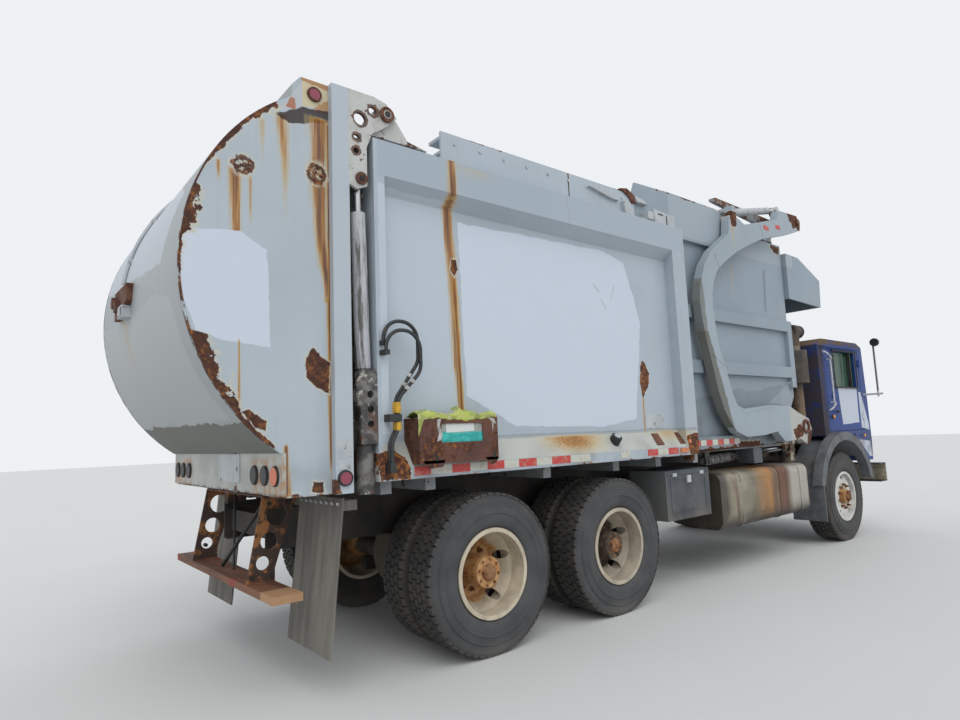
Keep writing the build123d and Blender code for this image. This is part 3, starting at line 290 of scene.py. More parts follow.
def arcMasks(finish, look):
    # Rust along the curved edge of the side plates, as wide as the widths say up its height
    if "arc" not in look:
        return
    arc = look["arc"]
    inside = arc["radius"] - finish.reach(*arc["centre"])
    low, high = arc["span"]
    widest = max(width for place, width in arc["widths"])
    stops = [((place - low) / (high - low), (width / widest,) * 3) for place, width in arc["widths"]]
    bite = finish.ramp((finish.z - low) / (high - low), stops) * widest
    bite = bite * (finish.noise(14, 7, rough=0.66).rise(0.30, 0.70) * 0.75 + 0.3)
    plate = finish.across(*plateBand) * inside.rise(-0.02, -0.015)
    mask = (bite - inside).rise(-0.002, 0.002) * plate * bite.rise(0.003, 0.006)
    rim = (bite * 1.5 + 0.006 - inside).rise(-0.006, 0.012) * plate * bite.rise(0.004, 0.012) * 0.8
    edge = finish.across(1.135, 1.15) * inside.fall(0.006, 0.012) * inside.rise(-0.03, -0.02)
    edge = edge * finish.noise(12, 5).rise(0.42, 0.5)
    edge = edge * finish.z.rise(1.44, 1.48) * finish.z.fall(3.47, 3.49)
    yield mask.larger(edge), rim


def edgeMasks(finish, look):
    # Rust that eats in from a level edge
    for edge in look.get("edges", ()):
        depth = (finish.z - edge["at"]) * edge["inward"]
        bite = finish.noise(edge["scale"], 6, rough=0.68).rise(edge["start"], 0.78) * edge["width"]
        mask = (bite - depth).rise(-0.004, 0.004) * depth.rise(-0.05, -0.045)
        yield mask, (bite * 1.7 + 0.01 - depth).rise(-0.01, 0.03) * bite.rise(0.002, 0.02) * 0.6


def weatheredPaint(name, look):
    # The truck's pale paint with primer patches, rust runs, chips and dirt, at the places that look gives
    finish = Finish(name)
    cloud = finish.noise(1.3, 4)
    rain = finish.noise(16, 4, (1, 1, 0.045), 0.6)
    base = look.get("base", palette["paint"])
    colour = finish.mix(cloud.rise(0.32, 0.7), base, [part * 0.91 for part in base])
    rough = 0.36 + cloud * 0.16
    if "skin" in look:
        colour = finish.mix(1 - finish.across(*plateBand), colour, look["skin"])
    colour = finish.mix(rain.rise(0.52, 0.80) * look["rain"], colour, (0.26, 0.25, 0.21))
    stain = None
    for layer in ("early", "patches", "late"):
        for spec in look.get(layer, ()):
            if layer == "patches":
                mask = finish.patch(spec)
                tone = spec.get("colour", palette["primer"])
                colour = finish.mix(mask * spec.get("strength", 1.0), colour, tone)
                rough = rough + mask * spec.get("dull", 0.12)
                continue
            mask = finish.streak(spec)
            deep = spec.get("deep", palette["streakDark"])
            tone = finish.ramp(mask * (finish.noise(70, 4, (1, 1, 0.04)) * 1.1 + 0.42),
                               ((0.15, palette["streakPale"]), (0.46, palette["streakOchre"]),
                                (0.76, palette["streakOrange"]), (1.0, deep)))
            colour = finish.mix((mask * 1.35).clamped() * 0.94, colour, tone)
            stain = joined(stain, mask)
    grimeMask = finish.z.fall(look.get("grimeLow", 1.2), look.get("grimeHigh", 1.75))
    grimeMask = grimeMask * finish.noise(5, 5).rise(0.35, 0.75) * look["grime"]
    colour = finish.mix(grimeMask, colour, palette["grime"])
    if stain is not None:
        rough = rough + stain * 0.25
    rust = rustTone(finish, look.get("light", 0.0))
    rusty = None
    halo = None
    for masks in (bareMasks, scarMasks, arcMasks, edgeMasks):
        for mask, rim in masks(finish, look):
            rusty = joined(rusty, mask)
            halo = joined(halo, rim)
    colour = finish.mix(halo.clamped() * finish.noise(34, 4).rise(0.3, 0.6), colour, palette["bare"])
    height = cloud * 0.8 + finish.noise(55, 5) * 0.02
    colour = finish.mix(rusty, colour, rust)
    rough = rough + rusty * 0.42
    height = height + finish.noise(70, 5) * rusty * 0.35 - rusty * 0.25
    return finish.done(colour, rough.clamped(), height, 0.004, specular=0.4)


# Where the paint is patched, run with rust or chipped. Points are (x, z) in the frame unless axes says
# otherwise, a run's top and low are (x, z, half its width), and side is -1 for the right side
gateLook = {
    "base": (0.41, 0.465, 0.51),
    "skin": (0.325, 0.355, 0.36),
    "early": (
        {"top": (-4.277, 3.02, 0.046), "low": (-4.265, 2.62, 0.034), "side": -1, "fade": 0.05},
        {"top": (-4.195, 2.99, 0.014), "low": (-4.19, 2.66, 0.008), "side": -1, "fade": 0.5, "strength": 0.7},
        {"top": (-4.01, 3.42, 0.055), "low": (-3.976, 2.62, 0.016), "side": -1, "fade": 0.9,
         "strength": 0.8},
        {"top": (-4.13, 3.36, 0.03), "low": (-4.12, 3.0, 0.01), "side": -1, "fade": 0.9, "strength": 0.5},
        {"top": (-4.37, 3.05, 0.02), "low": (-4.365, 2.9, 0.01), "side": -1, "fade": 0.6, "strength": 0.8},
        {"top": (-3.84, 3.42, 0.05), "low": (-3.80, 1.9, 0.015), "side": 1, "fade": 0.5, "strength": 0.9},
        {"top": (-4.15, 3.3, 0.03), "low": (-4.13, 2.5, 0.01), "side": 1, "fade": 0.8, "strength": 0.6},
    ),
    "patches": (
        {"points": ((-4.57, 2.615), (-4.24, 2.655), (-4.095, 2.57), (-4.08, 2.01), (-4.37, 2.045),
                    (-4.47, 2.085), (-4.6, 2.45)), "ragged": 0.05, "side": -1, "band": plateBand},
        {"points": ((-4.45, 2.3), (-4.16, 2.32), (-4.12, 2.78), (-4.42, 2.82)), "side": 1,
         "band": plateBand, "ragged": 0.07},
        {"points": ((-0.75, 2.53), (-0.94, 2.9), (-0.6, 3.08), (1.13, 3.12), (1.13, 2.70), (0.82, 2.66)),
         "axes": ("y", "z"), "ragged": 0.09, "colour": (0.475, 0.515, 0.56)},
        {"points": ((-0.965, 2.30), (-0.7, 2.36), (1.13, 2.40), (1.13, 1.64), (-1.0, 1.62)),
         "axes": ("y", "z"), "ragged": 0.14, "grain": 3.5, "colour": (0.40, 0.425, 0.43)},
        {"points": ((-1.163, 1.60), (1.163, 1.63), (1.163, 1.38), (-1.163, 1.38)), "axes": ("y", "z"),
         "ragged": 0.12, "grain": 3.5, "colour": (0.155, 0.165, 0.145), "dull": 0.2},
        {"points": ((-4.04, 3.425), (-3.88, 3.66), (-3.88, 3.5)), "ragged": 0.0,
         "colour": (0.44, 0.47, 0.49)},
        {"points": ((-3.88, 3.505), (-3.88, 3.75), (-3.59, 3.75), (-3.59, 3.555)), "ragged": 0.01,
         "band": plateBand, "colour": (0.55, 0.48, 0.32)},
        {"points": ((-3.89, 3.72), (-3.70, 3.72), (-3.70, 3.655), (-3.89, 3.672)), "ragged": 0.05,
         "grain": 14, "band": plateBand, "colour": (0.34, 0.15, 0.05), "strength": 0.8},
        {"points": ((-3.77, 3.545), (-3.72, 3.60), (-3.70, 3.60), (-3.70, 3.495), (-3.82, 3.50)),
         "ragged": 0.06, "grain": 14, "band": plateBand, "colour": (0.38, 0.18, 0.06), "strength": 0.8},
        {"points": ((-3.985, 3.47), (-3.955, 3.54), (-3.925, 3.54), (-3.92, 3.47)), "ragged": 0.03,
         "grain": 14, "side": -1, "colour": (0.36, 0.12, 0.04), "strength": 0.85},
        {"points": ((-4.05, 3.41), (-3.873, 3.497), (-3.70, 3.525), (-3.70, 3.445), (-3.96, 3.372)),
         "ragged": 0.05, "grain": 12, "side": -1, "colour": (0.040, 0.026, 0.024), "strength": 0.93,
         "dull": 0.3},
    ),
    "late": (
        {"top": (-3.775, 3.46, 0.095), "low": (-3.785, 3.14, 0.075), "side": -1, "fade": 0.01},
        {"top": (-3.79, 3.15, 0.078), "low": (-3.724, 2.30, 0.032), "side": -1, "fade": 0.01, "taper": 0.8},
        {"top": (-3.724, 2.34, 0.022), "low": (-3.714, 1.30, 0.014), "side": -1, "fade": 0.15},
        {"top": (-3.716, 3.44, 0.012), "low": (-3.716, 1.2, 0.010), "side": -1, "fade": 0.1},
        {"top": (-4.25, 2.05, 0.006), "low": (-4.247, 1.66, 0.012), "side": -1, "fade": 0.02,
         "strength": 0.8},
        {"top": (-3.990, 1.47, 0.014), "low": (-3.982, 1.18, 0.030), "side": -1, "fade": 0.02, "taper": 1.0},
        {"axis": "y", "top": (0.3, 2.40, 0.12), "low": (0.3, 1.75, 0.05), "fade": 0.9, "strength": 0.3,
         "deep": palette["grime"]},
    ),
    "bare": (
        {"points": ((-3.83, 2.02), (-3.87, 1.96), (-3.87, 1.85), (-3.80, 1.78), (-3.73, 1.76), (-3.72, 1.94)),
         "side": -1, "ragged": 0.05},
        {"points": ((-4.235, 1.655), (-4.19, 1.665), (-4.10, 1.60), (-4.105, 1.545), (-4.16, 1.57)),
         "side": -1, "ragged": 0.06},
        {"points": ((-3.83, 1.25), (-3.77, 1.25), (-3.76, 1.19), (-3.84, 1.19)), "side": -1, "ragged": 0.05},
        {"points": ((-4.2, 3.2), (-4.1, 3.3), (-3.72, 3.5), (-3.72, 3.4)), "side": 1, "ragged": 0.1},
    ),
    "scars": (
        {"at": (-4.235, 3.045), "size": (0.062, 0.058), "side": -1},
        {"at": (-3.794, 3.095), "size": (0.062, 0.066), "side": -1},
    ),
    "arc": {"centre": (gateArc["x"], gateArc["z"]), "radius": gateArc["radius"], "span": (1.17, 3.69),
            "widths": ((1.17, 0.0), (1.44, 0.0), (1.47, 0.025), (1.60, 0.03), (1.68, 0.05), (1.84, 0.085),
                       (2.02, 0.095), (2.065, 0.085), (2.085, 0.0), (2.36, 0.0), (2.39, 0.018), (2.58, 0.022),
                       (2.61, 0.06), (2.74, 0.085), (2.86, 0.05), (2.89, 0.0), (3.0, 0.012), (3.05, 0.034),
                       (3.3, 0.040), (3.46, 0.045), (3.49, 0.0))},
    "edges": ({"at": 1.17, "inward": 1, "width": 0.03, "scale": 8, "start": 0.44},),
    "grime": 0.3, "grimeHigh": 1.5, "rain": 0.2,
}
bodyLook = {
    "base": (0.39, 0.445, 0.495), "light": 0.05,
    "early": (
        {"top": (-1.615, 3.42, 0.010), "low": (-1.615, 3.16, 0.005), "side": -1, "fade": 0.2},
        {"top": (-2.1, 3.4, 0.04), "low": (-2.08, 1.8, 0.01), "side": 1, "fade": 0.5},
        {"top": (-0.9, 3.4, 0.03), "low": (-0.9, 2.3, 0.01), "side": 1, "fade": 0.6, "strength": 0.7},
    ),
    "patches": (
        {"points": ((-3.4, 3.165), (0.0, 3.165), (0.0, 3.5), (-3.4, 3.5)), "ragged": 0.0, "dull": 0.0,
         "band": (1.14, 1.15), "colour": (0.33, 0.385, 0.435), "strength": 0.8},
        {"points": ((-2.69, 3.01), (-1.08, 3.045), (-0.78, 2.96), (-0.69, 2.65), (-0.62, 2.47),
                    (-0.77, 1.565), (-1.2, 1.51), (-2.2, 1.53), (-2.66, 1.76)), "ragged": 0.05, "side": -1},
        {"points": ((-3.40, 1.50), (-2.74, 1.50), (-2.80, 3.12), (-3.40, 3.12)), "ragged": 0.04, "side": -1,
         "colour": (0.46, 0.52, 0.575), "strength": 0.8, "dull": 0.0},
        {"points": ((-2.2, 1.7), (-0.4, 1.72), (-0.4, 2.95), (-2.1, 2.9)), "side": 1, "ragged": 0.12},
        {"points": ((-3.4, 1.30), (0.0, 1.30), (0.0, 1.452), (-3.4, 1.452)), "ragged": 0.0, "dull": 0.1,
         "colour": (0.44, 0.44, 0.39), "strength": 0.8},
        {"points": ((-2.6, 1.444), (0.0, 1.444), (0.0, 1.472), (-2.6, 1.472)), "ragged": 0.02, "grain": 12,
         "dull": 0.1, "colour": (0.22, 0.235, 0.24), "strength": 0.55},
        {"points": ((-1.243, 2.726), (-1.237, 2.73), (-1.166, 2.667), (-1.170, 2.663)), "side": -1,
         "ragged": 0.008, "grain": 30, "colour": (0.14, 0.15, 0.16), "strength": 0.8},
        {"points": ((-0.966, 2.752), (-0.960, 2.754), (-1.012, 2.625), (-1.017, 2.627)), "side": -1,
         "ragged": 0.008, "grain": 30, "colour": (0.14, 0.15, 0.16), "strength": 0.7},
        {"points": ((-1.155, 2.60), (-1.150, 2.603), (-1.082, 2.52), (-1.086, 2.517)), "side": -1,
         "ragged": 0.008, "grain": 30, "colour": (0.16, 0.17, 0.18), "strength": 0.8},
    ),
    "late": (
        {"top": (-2.80, 3.43, 0.045), "low": (-2.79, 3.14, 0.05), "side": -1, "fade": 0.01},
        {"top": (-2.785, 3.15, 0.058), "low": (-2.705, 1.42, 0.036), "side": -1, "fade": 0.05},
        {"top": (-2.74, 2.66, 0.03), "low": (-2.70, 1.42, 0.02), "side": -1, "fade": 0.05},
        {"top": (-2.6, 3.40, 0.22), "low": (-2.6, 3.30, 0.2), "side": -1, "fade": 0.9, "strength": 0.3},
        {"top": (-0.655, 1.80, 0.016), "low": (-0.665, 1.42, 0.012), "side": -1, "fade": 0.1,
         "strength": 0.8},
        {"top": (-0.35, 1.46, 0.3), "low": (-0.35, 1.30, 0.3), "side": -1, "fade": 0.9, "strength": 0.55},
        {"top": (-1.62, 1.452, 0.42), "low": (-1.66, 1.27, 0.34), "fade": 0.7, "strength": 0.85},
    ),
    "bare": (
        {"points": ((-0.65, 2.09), (-0.60, 2.08), (-0.535, 1.98), (-0.565, 1.86), (-0.66, 1.76),
                    (-0.685, 1.9)), "side": -1, "ragged": 0.06, "rim": 0.5},
        {"points": ((-2.76, 2.72), (-2.715, 2.73), (-2.70, 2.66), (-2.735, 2.60), (-2.765, 2.64)), "side": -1,
         "ragged": 0.03, "rim": 0.9},
        {"points": ((-3.43, 1.40), (-3.30, 1.42), (-3.22, 1.34), (-3.2, 1.22), (-3.43, 1.22)),
         "ragged": 0.10},
        {"points": ((-0.18, 1.40), (0.02, 1.42), (0.02, 1.22), (-0.14, 1.22)), "ragged": 0.06, "side": -1},
    ),
    "edges": ({"at": 1.22, "inward": 1, "width": 0.03, "scale": 6, "start": 0.50},),
    "grime": 0.4, "grimeLow": 1.22, "grimeHigh": 1.50, "rain": 0.14,
}
roofLook = {
    "base": (0.40, 0.455, 0.50),
    "late": ({"top": (station(1.06), 3.69, 0.012), "low": (station(1.06), 3.5, 0.008), "side": -1,
              "fade": 0.2, "strength": 0.8},),
    "edges": ({"at": 3.67, "inward": -1, "width": 0.02, "scale": 9.0, "start": 0.52},),
    "grime": 0.0, "rain": 0.2,
}
hopperLook = {
    "base": (0.26, 0.315, 0.36),
    "early": (
        {"top": (1.2, 3.3, 0.02), "low": (1.2, 2.8, 0.01), "fade": 0.7, "strength": 0.5},
        {"top": (0.6, 2.9, 0.02), "low": (0.6, 2.2, 0.01), "fade": 0.7, "strength": 0.4},
    ),
    "patches": (
        {"points": ((2.36, 1.99), (1.80, 1.72), (2.56, 1.66)), "ragged": 0.04, "band": (1.03, 1.04)},
        {"points": ((0.0, 3.41), (2.6, 3.41), (2.6, 3.9), (0.0, 3.9)), "ragged": 0.02,
         "colour": (0.31, 0.36, 0.40), "dull": 0.0},
        {"points": ((0.0, 1.2), (2.45, 1.2), (2.45, 1.95), (0.0, 1.75)), "ragged": 0.3, "grain": 2,
         "colour": (0.19, 0.225, 0.25), "strength": 0.7},
    ),
    "bare": (
        {"points": ((2.15, 3.64), (2.38, 3.66), (2.38, 3.56), (2.25, 3.55)), "ragged": 0.1},
        {"points": ((0.95, 1.30), (1.5, 1.30), (1.5, 1.24), (0.95, 1.24)), "ragged": 0.06},
    ),
    "edges": ({"at": 3.83, "inward": -1, "width": 0.04, "scale": 8.0, "start": 0.48},
              {"at": 1.25, "inward": 1, "width": 0.10, "scale": 5.0, "start": 0.42}),
    "grime": 0.45, "grimeLow": 1.3, "grimeHigh": 2.1, "rain": 0.3,
}
armLook = {
    "base": (0.305, 0.36, 0.40),
    "patches": (
        {"points": ((1.9, 1.72), (2.7, 1.62), (2.7, 1.1), (2.1, 1.1), (1.9, 1.3)), "ragged": 0.16,
         "colour": (0.42, 0.42, 0.38), "strength": 0.9},
        {"points": ((0.22, 2.42), (0.345, 2.42), (0.70, 1.42), (0.58, 1.38)), "ragged": 0.05,
         "colour": (0.13, 0.125, 0.10), "dull": 0.3, "strength": 0.85},
        {"points": ((0.22, 3.05), (0.30, 3.0), (0.345, 2.30), (0.22, 2.30)), "ragged": 0.06,
         "colour": (0.15, 0.145, 0.12), "dull": 0.2, "strength": 0.75},
    ),
    "late": ({"top": (1.0, 3.8, 0.05), "low": (0.98, 3.3, 0.02), "fade": 0.6, "strength": 0.5},),
    "bare": (
        {"points": ((2.28, 4.06), (2.68, 4.06), (2.68, 3.84), (2.45, 3.86)), "ragged": 0.16},
        {"points": ((2.30, 1.36), (2.68, 1.5), (2.68, 1.16), (2.2, 1.14)), "ragged": 0.22, "rim": 0.4},
        {"points": ((1.95, 1.40), (2.15, 1.48), (2.2, 1.34), (2.0, 1.28)), "ragged": 0.12, "rim": 0.4},
        {"points": ((0.94, 3.80), (1.10, 3.80), (1.08, 3.62), (0.97, 3.62)), "ragged": 0.10},
    ),
    "grime": 0.35, "grimeLow": 1.2, "grimeHigh": 1.5, "rain": 0.3,
}


bracketTones = {"lug": (0.46, 0.46, 0.44), "black": ((0.045, 0.042, 0.04), (0.17, 0.165, 0.155)),
                "rusty": (0.10, 0.055, 0.038), "pale": (0.36, 0.345, 0.31)}


def bracketPaint():
    # White hinge lugs at the top, greasy black brackets and lock tubes lower down, peeling bearing plates
    finish = Finish("bracketPaint")
    lug = finish.z.rise(3.40, 3.42) * finish.across(1.08, 1.084)
    wear = finish.noise(12, 6, rough=0.7).rise(0.55, 0.60)
    white = finish.mix(wear, bracketTones["lug"], rustTone(finish))
    black = finish.mix(finish.noise(9, 5).rise(0.45, 0.62), *bracketTones["black"])
    black = finish.mix(finish.noise(10, 6, rough=0.7).rise(0.55, 0.60), black, bracketTones["rusty"])
    black = finish.mix(finish.noise(8, 6, rough=0.7).rise(0.56, 0.60), black, bracketTones["pale"])
    colour = finish.mix(lug, black, white)
    peel = finish.noise(8, 6, rough=0.7)
    bearing = finish.mix(peel.rise(0.46, 0.50), rustTone(finish), palette["cream"])
    bearing = finish.mix(peel.rise(0.60, 0.63), bearing, palette["black"])
    colour = finish.mix(finish.x.rise(1.5, 1.6), colour, bearing)
    return finish.done(colour, 0.4 + wear * 0.4, finish.noise(40, 4), 0.002)


frameTones = {"posts": ((0.38, 0.43, 0.47), (0.43, 0.48, 0.53)),
              "bar": ((0.30, 0.32, 0.30), (0.40, 0.41, 0.375)),
              "plates": ((0.48, 0.48, 0.46), (0.30, 0.29, 0.26)), "lampRims": (0.34, 0.17, 0.06),
              "holes": ((station(-0.975), 3.51, 0.042), (station(-0.88), 3.59, 0.030),
                        (station(-1.0), 3.38, 0.020), (station(-1.005), 3.29, 0.020))}


def gateFramePaint():
    # Pale posts and bar, with white hinge plates that are rusty round their edges and holes
    finish = Finish("gateFramePaint")
    cloud = finish.noise(3, 5)
    base = finish.mix(cloud, *frameTones["posts"])
    rearBar = finish.x.fall(-3.96, -3.95)
    base = finish.mix(rearBar, base, finish.mix(cloud.rise(0.4, 0.6), *frameTones["bar"]))
    hingePlate = finish.x.rise(-3.602, -3.598)
    white = finish.mix(finish.noise(6, 5).rise(0.4, 0.7), *frameTones["plates"])
    colour = finish.mix(hingePlate, base, white)
    lampRim = finish.noise(13, 5).rise(0.4, 0.6) * rearBar
    lampRim = lampRim * finish.z.fall(1.36, 1.42) * finish.across(0.62, 0.70)
    colour = finish.mix(lampRim * 0.8, colour, frameTones["lampRims"])
    seam = finish.y.rise(-0.42, -0.38) * finish.y.fall(-0.36, -0.32) * rearBar
    low = finish.z.fall(1.175, 1.20) * finish.noise(9, 6, rough=0.7).rise(0.48, 0.54)
    low = low.larger(rearBar * seam * finish.noise(12, 5).rise(0.45, 0.55))
    corner = finish.depth(((-3.73, 1.27), (-3.70, 1.25), (-3.67, 1.17), (-3.73, 1.17)), 0.05)
    corner = corner.rise(-0.003, 0.003)
    scabs = finish.noise(13, 6, rough=0.72).rise(0.60, 0.63) * hingePlate
    holes = None
    for x, z, radius in frameTones["holes"]:
        ring = (finish.reach(x, z) + (finish.noise(40, 4) - 0.5) * 0.04).fall(radius + 0.014, radius + 0.02)
        holes = joined(holes, ring)
    rusty = low.larger(corner).larger(scabs).larger(holes * 0.9)
    colour = finish.mix(rusty, colour, rustTone(finish))
    return finish.done(colour, 0.38 + rusty * 0.4, cloud + rusty * 0.3, 0.003)


def dirtyMetal(name, look):
    # Any plain finish: two tones clouded together, with rust where the noise is high
    finish = Finish(name)
    cloud = finish.noise(look.get("scale", 6), 5, look.get("stretch", (1, 1, 1)))
    colour = finish.mix(cloud.rise(0.3, 0.7), look["tones"][0], look["tones"][1])
    rough = look.get("rough", 0.5) + cloud * 0.12
    height = finish.noise(60, 5) * 0.5 + cloud * 0.5
    if look.get("rust"):
        amount = finish.noise(look.get("rustScale", 7), 7, rough=0.72)
        rusty = amount.rise(0.70 - look["rust"] * 0.5, 0.76 - look["rust"] * 0.5)
        colour = finish.mix(rusty, colour, rustTone(finish, look.get("light", 0.0)))
        rough = rough + rusty * 0.3
    if look.get("dust"):
        dust = finish.noise(3, 5).rise(0.3, 0.7) * look["dust"]
        colour = finish.mix(dust, colour, palette["dust"])
        rough = rough + dust * 0.3
    return finish.done(colour, rough.clamped(), height, look.get("depth", 0.0015),
                       metallic=look.get("metallic", 0.0))


cylinderTones = {"white": (0.42, 0.435, 0.46), "grease": (0.09, 0.085, 0.08), "specks": (0.15, 0.12, 0.10)}


def cylinderPaint():
    # Dirty white barrels with dark runs of grease
    finish = Finish("cylinderPaint")
    runs = finish.noise(24, 5, (1, 1, 0.10), 0.65)
    low = finish.z.fall(2.0, 2.9) * 0.10
    colour = finish.mix((runs + low).rise(0.52, 0.70), cylinderTones["white"], cylinderTones["grease"])
    specks = finish.noise(60, 4).rise(0.62, 0.68)
    colour = finish.mix(specks * 0.7, colour, cylinderTones["specks"])
    return finish.done(colour, 0.35 + runs * 0.3, runs, 0.001)


def rimPaint(name, look):
    # Cream or white rims with rust that spreads from the hub
    finish = Finish(name)
    away = finish.reach(look["x"], tyreRadius)
    spread = away + (finish.noise(11, 6, rough=0.7) - 0.5) * 0.08
    rusty = spread.fall(look["rust"] - 0.01, look["rust"] + 0.012)
    speck = finish.noise(40, 5, rough=0.7).rise(0.64, 0.68)
    cloud = finish.noise(8, 5)
    colour = finish.mix(cloud.rise(0.35, 0.7), look["tone"], [part * 0.72 for part in look["tone"]])
    colour = finish.mix(speck * 0.8, colour, palette["rustBrown"])
    tone = finish.ramp(finish.noise(16, 6, rough=0.7), look["dish"])
    colour = finish.mix(rusty, colour, tone)
    return finish.done(colour, 0.42 + rusty * 0.45, finish.noise(50, 5) * rusty, 0.002)


tyreTones = {"tread": ((0.030, 0.029, 0.028), (0.062, 0.056, 0.048)),
             "flank": ((0.040, 0.043, 0.047), (0.066, 0.068, 0.070)), "foot": (0.13, 0.12, 0.105)}


def tyreRubber():
    # Bluish grey dust on the sidewalls, brown dust in the tread
    finish = Finish("tyreRubber")
    cloud = finish.noise(5, 5)
    wall = finish.across(1.196, 1.204)
    tread = finish.mix(cloud.rise(0.3, 0.72), *tyreTones["tread"])
    flank = finish.mix(cloud.rise(0.3, 0.72), *tyreTones["flank"])
    colour = finish.mix(wall, tread, flank)
    colour = finish.mix(finish.z.fall(0.0, 0.16) * cloud, colour, tyreTones["foot"])
    return finish.done(colour, 0.62 + cloud * 0.2, finish.noise(90, 4), 0.0012)


tankTones = {"patina": ((0.34, 0.31, 0.235), (0.17, 0.15, 0.105)), "runs": (0.15, 0.085, 0.04),
             "clean": (0.43, 0.41, 0.36), "orange": (0.42, 0.18, 0.04),
             "brown": ((0.11, 0.045, 0.03), (0.19, 0.10, 0.06)), "drips": (0.20, 0.10, 0.045),
             # The dark tone is painted shade on the tank's rear end, and it also darkens the tank's lowest
             # part
             "dark": (0.05, 0.042, 0.034)}
# Where along the tank each tone comes in and goes out, ahead of the rearmost axle
tankBands = {"clean": (4.30, 4.42), "orange": (3.50, 3.86, 3.92, 4.02), "brown": (3.90, 4.00, 4.26, 4.40),
             # Behind the dark band's stations the tank's rear end gets painted shade
             "dark": (2.98, 3.12)}


def tankMetal():
    # Stained sheet aluminium: olive patina, then an orange and a brown band ahead of the raised panel
    finish = Finish("tankMetal")
    runs = finish.noise(7, 5, (1, 1, 0.10), 0.6)
    fine = finish.noise(30, 4, (1, 1, 0.06), 0.6)
    cloud = finish.noise(3, 5)
    bands = {key: [station(place) for place in places] for key, places in tankBands.items()}
    colour = finish.mix(cloud.rise(0.3, 0.7), *tankTones["patina"])
    colour = finish.mix(runs.rise(0.55, 0.68) * 0.75, colour, tankTones["runs"])
    place = finish.x + (runs - 0.5) * 0.10
    ahead = place.rise(*bands["clean"])
    colour = finish.mix(ahead * 0.8, colour, tankTones["clean"])
    glow = place.rise(*bands["orange"][:2]) * place.fall(*bands["orange"][2:])
    colour = finish.mix(glow * (fine.rise(0.30, 0.62) * 0.45 + 0.42), colour, tankTones["orange"])
    brown = place.rise(*bands["brown"][:2]) * place.fall(*bands["brown"][2:])
    brownTone = finish.mix(fine.rise(0.35, 0.65), *tankTones["brown"])
    colour = finish.mix(brown * (runs.rise(0.30, 0.60) * 0.4 + 0.55), colour, brownTone)
    drips = fine.rise(0.60, 0.68) * ahead * runs.rise(0.45, 0.55)
    colour = finish.mix(drips * 0.8, colour, tankTones["drips"])
    # Painted shade: the tank's rear end, which lies in shadow under the truck, is darkened, and the tank is
    # darker towards the bottom
    dark = finish.z.fall(0.46, 0.66) * cloud.rise(0.2, 0.5)
    dark = dark.larger(finish.x.fall(*bands["dark"]) * 0.85)
    colour = finish.mix(dark, colour, tankTones["dark"])
    dull = brown.larger(glow)
    return finish.done(colour, 0.42 + dull * 0.3, cloud, 0.004, metallic=0.35 - dull * 0.3)


cabTones = {
    "blue": ((0.010, 0.036, 0.175), (0.016, 0.052, 0.225)), "white": (0.48, 0.52, 0.59),
    # The first dust tone, for the cab's back, is dust darkened with painted shade; the second is the roof's
    # brown dust
    "dust": ((0.055, 0.042, 0.034), (0.135, 0.088, 0.05)), "grime": (0.12, 0.11, 0.10),
    "fields": (((3.545, 1.945), (3.57, 1.965), (4.13, 1.965), (4.155, 1.945), (4.13, 1.45), (3.60, 1.43)),
               ((4.20, 1.86), (4.27, 1.87), (4.45, 1.40), (4.44, 1.34), (4.20, 1.38)),
               ((4.07, 1.22), (4.43, 1.19), (4.46, 0.98), (4.36, 0.98))),
}


def cabBlue():
    # Blue gloss paint, brown dust on the roof, dust darkened by painted shade on the back, and white
    # blocked-out panels on the doors
    finish = Finish("cabBlue")
    cloud = finish.noise(4, 5)
    colour = finish.mix(cloud.rise(0.3, 0.7), *cabTones["blue"])
    white = None
    for points in cabTones["fields"]:
        white = joined(white, finish.depth(points, 0.025).rise(-0.002, 0.002))
    white = white * finish.across(1.02, 1.04)
    colour = finish.mix(white, colour, cabTones["white"])
    dust = finish.x.fall(station(5.66), station(5.80)) * 0.9 + finish.z.rise(2.46, 2.51)
    dust = (dust * finish.noise(7, 6, rough=0.65).rise(0.28, 0.55)).clamped()
    # Below the roof the dust takes the darker tone, which is painted shade on the cab's back
    tone = finish.mix(finish.z.rise(2.44, 2.48), *cabTones["dust"])
    colour = finish.mix(dust, colour, tone)
    low = finish.z.fall(1.25, 1.45) * finish.noise(6, 5).rise(0.4, 0.65) * 0.5
    colour = finish.mix(low, colour, cabTones["grime"])
    rough = 0.34 + cloud * 0.12 + dust * 0.4 + low * 0.3
    return finish.done(colour, rough.clamped(), cloud, 0.002, specular=0.22)


lampTones = {"side": (0.26, 0.05, 0.085), "orange": (0.62, 0.17, 0.09)}


def lampLenses():
    # The truck's own mix: dark holes on the lower bar, one lamp still orange, purple-red ones on the sides
    finish = Finish("lampLenses")
    rings = finish.cells(220)
    high = finish.x.rise(-3.85, -3.84)
    orange = finish.y.fall(-0.99, -0.98) * finish.x.fall(-3.9, -3.89)
    colour = finish.mix(high, palette["black"], lampTones["side"])
    colour = finish.mix(orange, colour, lampTones["orange"])
    spots = finish.noise(60, 4).rise(0.6, 0.66) * 0.5
    colour = finish.mix(spots, colour, palette["rustBrown"])
    return finish.done(colour, 0.45 + rings * 0.2, rings, 0.001)


bumperTones = {"worn": (0.30, 0.26, 0.18), "black": ((0.015, 0.015, 0.016), (0.05, 0.045, 0.04))}


